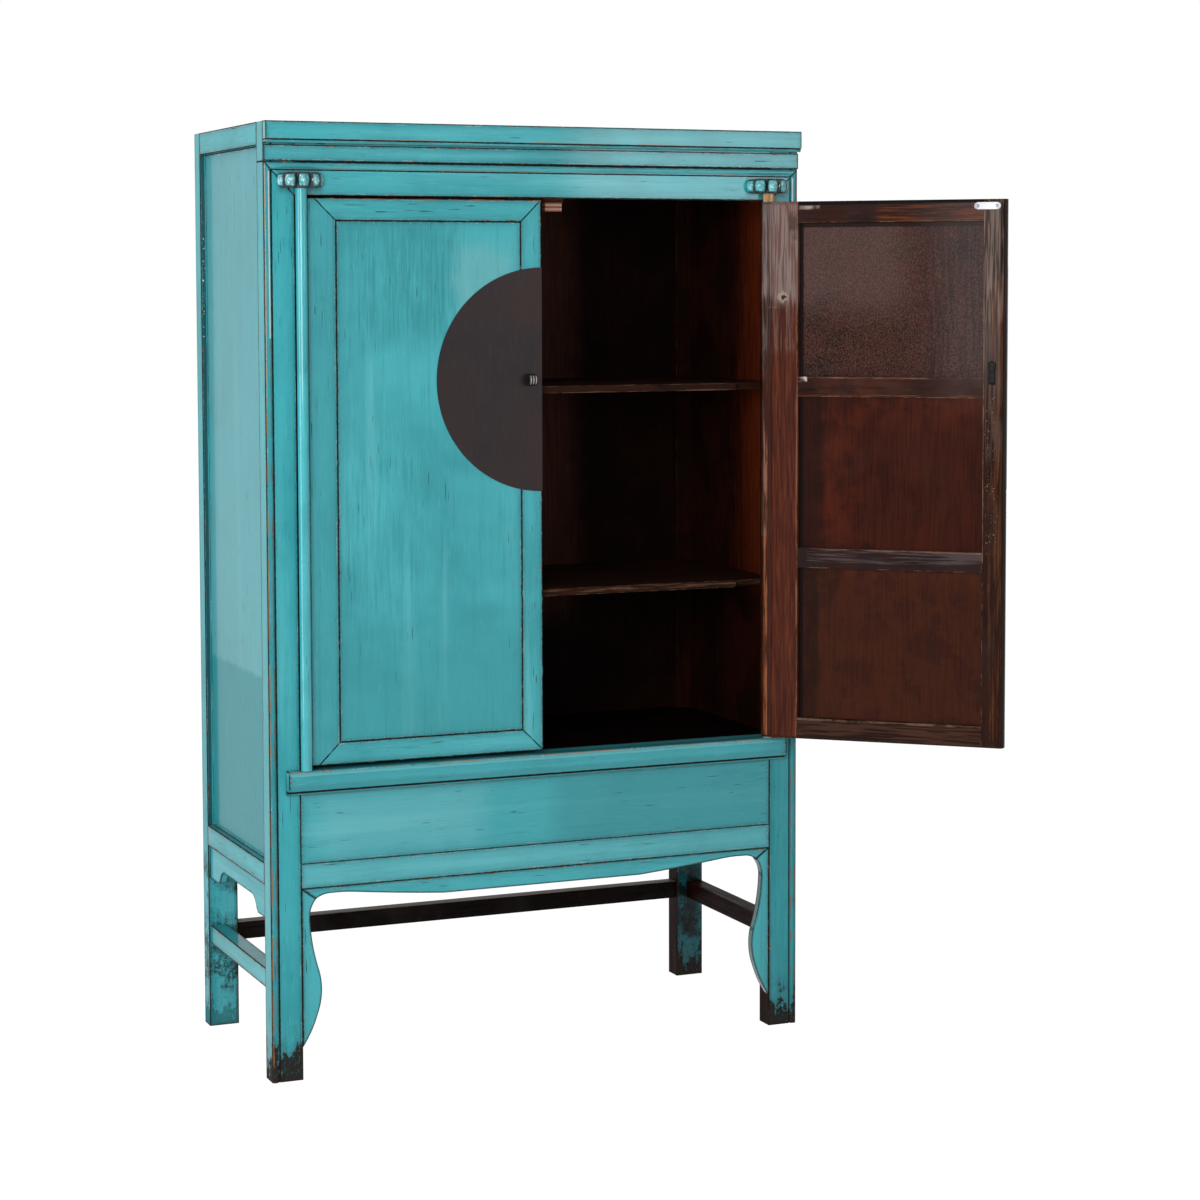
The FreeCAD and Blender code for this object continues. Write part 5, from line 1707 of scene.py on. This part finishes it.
@dataclass
class Interior:
    """Shelves, boards, back and catches.

    Attributes:
        frame: The loaded frame.
        boards: The wood of shelves and boards.
        back: The wood of the back's inner face.
    """

    frame: dict
    boards: DarkWood = DarkWood(
        main=srgb(30, 18, 14), red=srgb(46, 24, 16), pale=srgb(62, 48, 42), black=srgb(8, 6, 5),
        edge=srgb(110, 80, 60), sheen=0.2, wax=0.03
    )
    back: DarkWood = DarkWood(
        main=srgb(16, 8, 6), red=srgb(26, 11, 7), pale=srgb(26, 20, 17), black=srgb(4, 3, 3),
        edge=srgb(30, 22, 18), sheen=0.1, worn=0.3, wax=0.0
    )

    def build(self) -> None:
        """Dress every inner piece."""
        across = Grain.ACROSS
        for seed, (name, top) in enumerate((("lower_shelf", 904), ("upper_shelf", 1290)), start=60):
            worn = Mark(
                srgb(112, 78, 56), 0.7, z=(top - 6, top), soft=1.4, pattern=Pattern.STREAK, y=(-230, -199)
            )
            self.dress_board(Piece(name, across, inner_marks=(worn,)), self.boards, seed)
        black = replace(self.boards, main=srgb(9, 5, 4), red=srgb(14, 7, 5), pale=srgb(16, 12, 10), wax=0.0)
        self.dress_board(Piece("floor_board", across), black, 62)
        self.dress_board(Piece("base_board", across), black, 63)
        self.dress_top()
        self.dress_back()
        dust = Mark(srgb(140, 132, 122), 0.85, z=(206.4, 210), soft=0.5)
        stained = replace(
            self.back, main=srgb(24, 19, 18), red=srgb(30, 22, 20), pale=srgb(48, 44, 42), sheen=0.5
        )
        self.dress_board(Piece("rear_stretcher", across, inner_marks=(dust,)), stained, 71)
        self.dress_catches()

    def dress_board(self, piece: Piece, wood: DarkWood, seed: int) -> None:
        """Dress one board in dark wood.

        Args:
            piece: The board.
            wood: Its finish.
            seed: Sets its pattern apart.
        """
        graph = Graph(f"wood_{piece.node}")
        ground = Ground(graph, Setting(), piece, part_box(piece.node), seed)
        dress(piece.node, finish(graph, wood.lay(ground), bevel=0.8 * MM), self.frame)

    def dress_back(self) -> None:
        """Stain the back panel, with a paler figure on its inner face alone."""
        light = Mark(srgb(84, 50, 42), 0.68, (-480, 190), (860, 1790), 110.0)
        figure = replace(light, colour=srgb(112, 70, 56), strength=0.25, pattern=Pattern.STREAK)
        piece = Piece("back_panel", Grain.UPRIGHT, inner_marks=(light, figure))
        graph = Graph("wood_back_panel")
        ground = Ground(graph, Setting(), piece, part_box(piece.node), 70)
        outer = Ground(graph, Setting(), replace(piece, inner_marks=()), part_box(piece.node), 68)
        mask = ground.y.rise(226.0 * MM, 228.0 * MM)
        coat = overlay(graph, mask, self.back.lay(ground), self.boards.lay(outer))
        dress(piece.node, finish(graph, coat, bevel=0.8 * MM), self.frame)

    def dress_top(self) -> None:
        """Lacquer the top board outside and stain it inside."""
        graph = Graph("lacquer_top_board")
        ground = Ground(graph, Setting(), Piece("top_board", Grain.ACROSS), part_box("top_board"), 69)
        mask = ground.z.rise(1793.0 * MM, 1791.0 * MM)
        coat = overlay(graph, mask, Lacquer().lay(ground), self.boards.lay(ground))
        dress("top_board", finish(graph, coat), self.frame)

    def dress_catches(self) -> None:
        """Brown moulded catches under their wooden packing blocks."""
        for name in map(side_name, (-1, 1)):
            node = f"{name}_magnetic_catch"
            graph = Graph(f"catch_{name}")
            ground = Ground(graph, Setting(), Piece(node, Grain.ACROSS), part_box(node), 72)
            speck = graph.noise(ground.loose, 900.0, 2.0)
            low_bar, high_bar = (ground.z.within(z * MM, (z + 4) * MM, 0.5 * MM) for z in (1641.5, 1649.5))
            brown = graph.mix(speck, srgb(126, 82, 62), srgb(98, 60, 46))
            moulded = graph.mix(low_bar.most(high_bar), brown, srgb(176, 134, 116))
            plastic = Coat(moulded, 0.42, 0.1, speck * 0.2)
            grain = graph.noise(ground.along, 220.0, 4.0, 0.6)
            block = graph.mix(grain.rise(0.35, 0.65), srgb(92, 50, 28), srgb(48, 24, 14))
            wood = Coat(block, 0.6, 0.0, grain * 0.4)
            coat = overlay(graph, ground.z.rise(1655.8 * MM, 1656.2 * MM), plastic, wood)
            dress(node, finish(graph, coat, bevel=0.5 * MM), self.frame)


@dataclass
class Door:
    """One door: lacquer in front, dark wood behind, and dark metal fittings.

    Attributes:
        frame: The loaded frame.
        name: left or right.
        hinge: Where it turns and how its own coordinates lie.
        seed: Sets its patterns apart.
        bare_neck: Whether the pivot post is bare above the door.
        lacquer: The finish in front.
        wood: The finish behind.
        hinge_stile: From and to of the hinge stile, in millimetres from the pivot's axis.
        meeting_stile: From and to of the meeting stile, in millimetres from the pivot's axis.
        height: From and to of the door's frame, in millimetres from the floor.
        panel_height: From and to of the panel, likewise.
    """

    frame: dict
    name: str
    hinge: Hinge
    seed: int
    bare_neck: bool
    lacquer: Lacquer = Lacquer()
    wood: DarkWood = DarkWood()
    hinge_stile: tuple[float, float] = (-6.0, 69.0)
    meeting_stile: tuple[float, float] = (438.0, 480.25)
    height: tuple[float, float] = (597.0, 1660.0)
    panel_height: tuple[float, float] = (639.0, 1618.0)

    def node(self, piece: str) -> str:
        """The full name of one of its nodes."""
        return f"{self.name}_door_{piece}"

    @staticmethod
    def limits(x: tuple, z: tuple) -> Bounds:
        """Limits of a door piece in its own coordinates, from millimetres."""
        return span(x, (10, 35), z)

    def front_marks(self) -> tuple[Mark, ...]:
        """Clouds and reflections of the brushed front panel."""
        deep, cream = srgb(20, 122, 128), srgb(150, 180, 172)
        return marks(
            (deep, 0.5, (130, 290), (1430, 1580), 60.0, Pattern.STREAK),
            (deep, 0.3, (70, 200), (900, 1150), 80.0, Pattern.STREAK),
            (deep, 0.42, (90, 430), (600, 790), 110.0),
            (cream, 0.2, (330, 400), (1440, 1540), 50.0)
        )

    def panel_marks(self) -> tuple[Mark, ...]:
        """Stipple and clouds behind the panel, with a painted sheen at its upper left and painted shadows
        beside the hinge stile and under the top rail.
        """
        grey, rust, dark = srgb(112, 92, 88), srgb(82, 32, 15), srgb(20, 9, 6)
        brown = srgb(50, 28, 19)
        return marks(
            (srgb(48, 20, 13), 0.8, (60, 440), (1310, 1640), 30.0),
            (rust, 0.6, (180, 438), (1290, 1520), 60.0, Pattern.CLOUD),
            (dark, 0.75, (60, 430), (1330, 1560), 90.0, Pattern.CLOUD),
            # A painted sheen at the panel's upper left.
            (grey, 0.26, (60, 230), (1500, 1640), 100.0),
            (srgb(128, 102, 94), 0.22, (60, 438), (1300, 1640), 30.0, Pattern.STIPPLE),
            (dark, 0.8, (60, 438), (1310, 1640), 40.0, Pattern.SPECK),
            (dark, 0.5, (340, 438), (1330, 1640), 30.0, Pattern.STREAK),
            (rust, 0.45, (130, 400), (980, 1230), 90.0, Pattern.CLOUD),
            (dark, 0.5, (230, 420), (1010, 1180), 90.0, Pattern.CLOUD),
            (brown, 0.5, (60, 440), (640, 940), 40.0),
            (srgb(92, 46, 24), 0.6, (70, 420), (650, 930), 60.0, Pattern.CLOUD),
            (dark, 0.55, (120, 400), (660, 900), 80.0, Pattern.CLOUD),
            (srgb(78, 30, 15), 0.22, (60, 440), (600, 1290), 20.0, Pattern.COMB),
            (dark, 0.22, (60, 440), (600, 1290), 20.0, Pattern.STREAK),
            (dark, 0.6, (60, 110), (960, 1290), 20.0),
            (dark, 0.6, (60, 100), (640, 950), 16.0),
            # Painted shadows: a strip beside the hinge stile and a band under the top rail.
            (dark, 0.95, (60, 77), (600, 1640), 1.5),
            (dark, 0.85, (60, 440), (1610, 1640), 2.0)
        )

    def hinge_marks(self) -> tuple[Mark, ...]:
        """Worn back of the hinge stile, with a painted sheen at its top, a painted highlight along its
        rounded back edge and painted shade beside it.
        """
        grey, orange, dark = srgb(158, 142, 138), srgb(164, 98, 60), srgb(40, 28, 26)
        return marks(
            (srgb(82, 36, 24), 0.7, (12, 69), (600, 1660), 8.0),
            (srgb(110, 58, 38), 0.4, (12, 69), (600, 1660), 8.0, Pattern.STREAK),
            (srgb(38, 18, 13), 0.5, (12, 69), (600, 1660), 8.0, Pattern.COMB),
            # A painted sheen, grey at the top of the stile.
            (grey, 0.4, (12, 66), (1480, 1655), 40.0, Pattern.COMB),
            (grey, 0.2, (12, 60), (1500, 1650), 40.0),
            (grey, 0.16, (12, 50), (1380, 1460), 30.0, Pattern.STREAK),
            (srgb(150, 104, 80), 0.4, (66, 70), (600, 1660), 1.0, Pattern.STREAK),
            # Painted shade in the groove beside the rounded back edge.
            (dark, 0.8, (7, 13), (590, 1560), 2.0, Pattern.STREAK),
            (dark, 0.45, (7, 12), (590, 1670), 2.0),
            (orange, 0.6, (1, 7), (600, 1300), 1.2, Pattern.STREAK),
            # A painted highlight along the rounded back edge.
            (srgb(112, 98, 92), 0.4, (-6, 7), (1000, 1660), 1.2, Pattern.STREAK),
            (srgb(150, 134, 126), 0.3, (12, 34), (1452, 1453), 3.0, Pattern.STREAK),
            (dark, 0.7, (55, 66), (1590, 1650), 8.0, Pattern.CLOUD)
        )

    def meeting_marks(self) -> tuple[Mark, ...]:
        """Combed and worn back of the meeting stile, with a painted sheen at its top."""
        grey, orange, dark = srgb(146, 124, 110), srgb(128, 74, 40), srgb(26, 16, 12)
        return marks(
            (srgb(30, 17, 12), 0.5, (438, 480), (600, 1660), 8.0),
            # A painted sheen, grey combing at the top.
            (grey, 0.38, (438, 470), (1440, 1660), 30.0, Pattern.COMB),
            (grey, 0.14, (438, 470), (1180, 1500), 40.0, Pattern.COMB),
            (orange, 0.3, (455, 476), (600, 1500), 8.0, Pattern.STREAK),
            (dark, 0.9, (476.5, 490), (500, 1700), 1.5),
            (srgb(160, 138, 112), 0.7, (444, 462), (980, 1280), 8.0, Pattern.SPECK),
            (srgb(160, 116, 88), 0.5, (437, 439.4), (960, 1640), 0.8, Pattern.STREAK)
        )

    def wooden(self) -> list[Piece]:
        """The wooden pieces in the door's own coordinates."""
        across, upright = Grain.ACROSS, Grain.UPRIGHT
        streak, comb, cloud = Pattern.STREAK, Pattern.COMB, Pattern.CLOUD
        near, (far, right) = self.hinge_stile[1], self.meeting_stile
        low, high = self.height
        mitres = [
            (Line.through(near, z, 27, end), Line.through(far, z, right, end))
            for z, end in ((self.panel_height[1], high), (self.panel_height[0], low))
        ]
        (hinge_top, meet_top), (hinge_low, meet_low) = mitres
        # light paints a highlight along the top arrises of the bottom rail and battens.
        light = srgb(138, 106, 90)
        shade = Mark(srgb(28, 128, 136), 0.3, z=self.height)
        rubbed = Mark(srgb(132, 84, 46), 0.85, z=(1657.4, 1659.4), soft=0.5, pattern=cloud, over=True)
        return [
            Piece(
                self.node("hinge_stile"), upright, self.limits(self.hinge_stile, self.height),
                # The wide line at 11.5 mm is painted shade in the crease beside the pivot post.
                (hinge_top, hinge_low, Line.upright(11.5, 3.4)), (shade,), self.hinge_marks(),
                rubbed=0.2, broken=0.7
            ),
            Piece(
                self.node("meeting_stile"), upright, self.limits(self.meeting_stile, self.height),
                (meet_top, meet_low), inner_marks=self.meeting_marks(), rubbed=0.2, broken=0.7
            ),
            Piece(
                self.node("top_rail"), across, self.limits((-20, 500), (self.panel_height[1], high)),
                (hinge_top, meet_top), (rubbed,),
                marks(
                    (srgb(30, 24, 24), 0.8, (60, 240), ANYWHERE, 40.0, streak),
                    (srgb(104, 50, 22), 0.7, (240, 438), ANYWHERE, 30.0, streak),
                    # A painted shadow along the top edge.
                    (srgb(14, 11, 10), 0.95, ANYWHERE, (1653, 1662), 2.0),
                    (srgb(210, 196, 184), 0.7, (72, 112), (1645, 1650), 2.0, cloud)
                ), rubbed=0.3, broken=0.6
            ),
            Piece(
                self.node("bottom_rail"), across, self.limits((-20, 500), (low, self.panel_height[0])),
                (hinge_low, meet_low),
                inner_marks=marks(
                    (srgb(32, 17, 12), 0.7, ANYWHERE, (590, 641)),
                    (srgb(108, 74, 58), 0.24, ANYWHERE, (600, 636), 3.0, comb),
                    # A painted highlight along the top arris.
                    (light, 0.4, ANYWHERE, (635.5, 641), 1.2, cloud)
                ), rubbed=0.2, broken=0.6
            ),
            Piece(
                self.node("panel"), upright, self.limits((near, far), self.panel_height),
                marks=self.front_marks(), inner_marks=self.panel_marks(), rubbed=0.1, broken=0.7
            ),
            Piece(
                self.node("upper_batten"), across, self.limits((near, far), (1277, 1316)),
                inner_marks=marks(
                    # Painted highlights along the top arris and at its left end.
                    (light, 0.6, ANYWHERE, (1313.8, 1320), 1.0, streak),
                    (srgb(228, 214, 200), 0.8, (66, 86), (1308, 1320), 3.0, cloud),
                    (srgb(122, 70, 40), 0.6, ANYWHERE, (1274, 1281), 1.5, streak)
                )
            ),
            Piece(
                self.node("lower_batten"), across, self.limits((near, far), (939, 978)),
                inner_marks=marks(
                    (srgb(32, 23, 24), 0.7, ANYWHERE, (930, 985)),
                    # A painted sheen near the top of the batten.
                    (srgb(110, 98, 98), 0.34, (90, 438), (954, 974), 5.0, streak),
                    # A painted highlight along the top arris.
                    (light, 0.5, ANYWHERE, (975.4, 981), 1.2, streak)
                )
            ),
        ]

    def build(self) -> None:
        """Dress every piece of the door and make its fittings."""
        for offset, piece in enumerate(self.wooden()):
            graph = Graph(f"door_{piece.node}")
            ground = Ground(graph, self.hinge.setting(), piece, piece.bounds, self.seed + offset)
            behind = ground.y.rise(12.0 * MM, 12.6 * MM)
            coat = overlay(graph, behind, self.lacquer.lay(ground), self.stained(ground))
            dress(piece.node, finish(graph, coat, bevel=1.0 * MM), self.frame)
        self.dress_pivot_post()
        self.fit_metal()

    def stained(self, ground: Ground) -> Coat:
        """The back of a piece, with the knot of the hinge stile.

        Args:
            ground: The piece's coordinates.

        Returns:
            What it shows at each point.
        """
        smooth = ground.piece.node.endswith("panel")
        flat = replace(self.wood, main=srgb(42, 12, 5), red=srgb(56, 18, 7), figure=0.3, sheen=0.06)
        coat = (flat if smooth else self.wood).lay(ground)
        if not ground.piece.node.endswith("hinge_stile"):
            return coat
        graph = ground.graph
        torn = graph.noise(ground.loose, 150.0, 3.0, 0.6)
        far = ground.spot(39.0, 1473.0) + (torn - 0.5) * (20.0 * MM)
        ring = far.within(3.0 * MM, 9.5 * MM, 2.4 * MM) * torn.rise(0.34, 0.46)
        heart = far.rise(5.0 * MM, 3.4 * MM)
        coat.colour = graph.layers(
            coat.colour, (ring * 0.75, srgb(156, 136, 122)), (heart * 0.9, srgb(34, 26, 22))
        )
        return coat

    def dress_pivot_post(self) -> None:
        """Lacquered round post with painted shade in the crease beside it, and maybe a bare whittled neck.
        """
        node = self.node("pivot_post")
        graph = Graph(f"lacquer_{node}")
        # Painted shade in the crease between the post and the door.
        crease = Mark(srgb(24, 30, 30), 0.85, x=(8.6, 30), soft=1.4)
        piece = Piece(node, Grain.UPRIGHT, marks=(crease,), rubbed=0.3)
        bounds = span((-200, 200), (-200, 200), (591.3, 1677))
        ground = Ground(graph, self.hinge.setting(), piece, bounds, self.seed + 20)
        coat = self.lacquer.lay(ground)
        if self.bare_neck:
            grain = graph.noise(ground.along, 300.0, 4.0, 0.6)
            colour = graph.mix(grain.rise(0.4, 0.6), srgb(200, 168, 124), srgb(150, 108, 68))
            bare = Coat(colour, 0.62, 0.0, grain * 0.5)
            coat = overlay(graph, ground.z.rise(1660.2 * MM, 1661.0 * MM), coat, bare)
        dress(node, finish(graph, coat), self.frame)

    def metal(self, name: str, patina: Patina, offset: int, wear: float = 0.0) -> bpy.types.Material:
        """A metal finish in the door's own coordinates.

        Args:
            name: The material's name.
            patina: Its colours.
            offset: Sets its pattern apart.
            wear: How strong the painted highlight on the ridges of its nose's leaves is.

        Returns:
            The material.
        """
        graph = Graph(f"metal_{self.name}_{name}")
        wide = span((-1e3, 1e3), (-1e3, 1e3), (-1e3, 3e3))
        piece = Piece(name, Grain.UPRIGHT)
        ground = Ground(graph, self.hinge.setting(), piece, wide, self.seed + offset)
        coat = patina.lay(ground)
        if wear:
            first, second, third = (abs(ground.x - place * MM) for place in (449.7, 455.0, 460.3))
            # Painted highlights on the ridges of the nose's leaves.
            ridge_highlight = first.least(second).least(third).rise(1.5 * MM, 0.5 * MM)
            ridge_highlight = ridge_highlight * ground.y.rise(-7.0 * MM, -11.0 * MM) * wear
            behind = ground.y.rise(30.0 * MM, 34.0 * MM)
            coat.colour = graph.layers(
                coat.colour, (ridge_highlight, patina.worn), (behind * 0.95, srgb(16, 13, 12))
            )
            coat.height = coat.height + graph.noise(ground.loose, 240.0, 2.0) * behind * 6.0
        constants = {"Metallic": 0.85, "Specular IOR Level": 0.4}
        return finish(graph, coat, relief=0.15 * MM, constants=constants)

    def fit_metal(self) -> None:
        """Moon plate, staple and strike plate."""
        dress(self.node("moon_plate"), self.metal("moon", Patina(), 30), self.frame)
        # The staple's worn colour is a painted highlight on its leaf ridges.
        staple = Patina(main=srgb(46, 44, 44), warm=srgb(36, 33, 32), worn=srgb(170, 166, 160))
        LockStaple().build(self.name, self.hinge, self.metal("staple", staple, 31, 0.8))
        steel = Patina(main=srgb(150, 150, 155), warm=srgb(134, 134, 139), brush=0.2)
        StrikePlate().build(self.name, self.hinge, self.metal("strike", steel, 32))


@dataclass
class Studio:
    """Plain pale floor, soft light and the camera of the photograph.

    Attributes:
        focal_pixels: Focal length in pixels of a 1200-pixel-wide picture.
        centre_row: The row where the optical axis meets the picture.
        azimuth: Degrees that the camera looks round from +Y towards +X.
        elevation: Degrees that it looks up.
        roll: Degrees that it leans.
        place: Where it stands, in metres.
        picture: The picture's width in pixels.
        ambient: How bright the surroundings light the cabinet.
    """

    focal_pixels: float = 2794.12
    centre_row: float = 480.0
    azimuth: float = 22.9666
    elevation: float = -3.9036
    roll: float = -0.1578
    place: Point = (-1.9967, -5.2443, 1.4889)
    picture: float = 1200.0
    ambient: float = 0.4

    def camera(self) -> None:
        """Set the camera up.

        Its forward vector is (sin a cos e, cos a cos e, sin e), its right vector lies level, and
        both are leaned by the roll.
        """
        a, e, r = (math.radians(v) for v in (self.azimuth, self.elevation, self.roll))
        level = Vector((math.sin(a), math.cos(a), 0.0))
        right = Vector((math.cos(a), -math.sin(a), 0.0))
        up = Vector((0.0, 0.0, 1.0))
        forward = level * math.cos(e) + up * math.sin(e)
        above = up * math.cos(e) - level * math.sin(e)
        leaned = right * math.cos(r) + above * math.sin(r)
        top = above * math.cos(r) - right * math.sin(r)
        data = bpy.data.cameras.new("camera")
        data.sensor_width = 36.0
        data.lens = self.focal_pixels / self.picture * data.sensor_width
        data.shift_y = (self.centre_row - self.picture / 2) / self.picture
        data.clip_end = 60.0
        made = bpy.data.objects.new("camera", data)
        basis = Matrix((leaned, top, -forward)).transposed().to_4x4()
        made.matrix_world = Matrix.Translation(self.place) @ basis
        bpy.context.scene.collection.objects.link(made)
        bpy.context.scene.camera = made

    def world(self) -> None:
        """White to the camera, in gloss and through glass, and softer as a light."""
        world = bpy.data.worlds.new("studio")
        world.use_nodes = True
        graph = Graph("studio", world.node_tree)
        strength = graph.blend(self.seen(graph), self.ambient, 1.0)
        background = graph.node(
            "ShaderNodeBackground", None, {"Color": (1.0, 1.0, 1.0), "Strength": strength}
        )
        output = graph.node("ShaderNodeOutputWorld")
        graph.tree.links.new(background.outputs[0], output.inputs[0])
        bpy.context.scene.world = world

    @staticmethod
    def seen(graph: Graph) -> Number:
        """Tell the rays that show the background: camera, glossy and transmission rays.

        Args:
            graph: The material to add to.

        Returns:
            1 for such rays and 0 for others.
        """
        path = graph.node("ShaderNodeLightPath")
        shown = Number(graph, path.outputs["Is Camera Ray"])
        for name in ("Is Glossy Ray", "Is Transmission Ray"):
            shown = shown.most(Number(graph, path.outputs[name]))
        return shown

    def lamp(self, name: str, place: Point, target: Point, size: tuple, power: float) -> None:
        """A soft box that faces a target.

        Args:
            name: Its name.
            place: Where it stands.
            target: What it faces.
            size: Its width and height in metres.
            power: Its power in watts.
        """
        data = bpy.data.lights.new(name, "AREA")
        data.shape = "RECTANGLE"
        data.size, data.size_y = size
        data.energy = power
        made = bpy.data.objects.new(name, data)
        aim = (Vector(target) - Vector(place)).to_track_quat("-Z", "Y")
        made.matrix_world = Matrix.Translation(place) @ aim.to_matrix().to_4x4()
        bpy.context.scene.collection.objects.link(made)

    def floor(self) -> None:
        """A wide pale floor that keeps a faint shadow and is white to the camera."""
        mesh = bpy.data.meshes.new("floor")
        reach = 30.0
        corners = [(-reach, -reach), (reach, -reach), (reach, reach), (-reach, reach)]
        mesh.from_pydata([(x, y, -0.001) for x, y in corners], [], [(0, 1, 2, 3)])
        made = bpy.data.objects.new("floor", mesh)
        bpy.context.scene.collection.objects.link(made)
        graph = Graph("floor")
        diffuse = graph.node("ShaderNodeBsdfDiffuse", None, {"Color": (0.86, 0.86, 0.86)})
        glow = graph.node("ShaderNodeEmission", None, {"Color": (1.0, 1.0, 1.0), "Strength": 1.12})
        mixed = graph.node("ShaderNodeMixShader")
        graph.feed(mixed.inputs[0], self.seen(graph) * 0.88)
        graph.tree.links.new(diffuse.outputs[0], mixed.inputs[1])
        graph.tree.links.new(glow.outputs[0], mixed.inputs[2])
        output = graph.node("ShaderNodeOutputMaterial")
        graph.tree.links.new(mixed.outputs[0], output.inputs[0])
        mesh.materials.append(graph.material)

    def build(self) -> None:
        """Set the whole studio up."""
        self.camera()
        self.world()
        self.floor()
        self.lamp("left_strip", (-4.2, -1.0, 1.3), (0.0, 0.0, 1.2), (1.0, 2.4), 60.0)
        self.lamp("front_box", (-2.6, -3.9, 2.0), (0.0, 0.0, 1.0), (1.8, 1.8), 110.0)
        self.lamp("right_box", (1.97, -3.8, 1.85), (0.3, 0.0, 1.5), (0.8, 0.8), 7.0)
        bpy.context.scene.view_settings.view_transform = "Standard"


def main() -> None:
    """Dress the cabinet, piece by piece, and set the studio up around it."""
    logging.basicConfig(level=logging.INFO, format="%(name)s %(message)s")
    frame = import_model()
    CabinetBody(frame).build()
    Interior(frame).build()
    Door(frame, "left", Hinge(-1, 0.0), 100, False).build()
    Door(frame, "right", Hinge(1, 138.0), 200, True).build()
    Studio().build()
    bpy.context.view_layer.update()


if __name__ == "__main__":
    main()
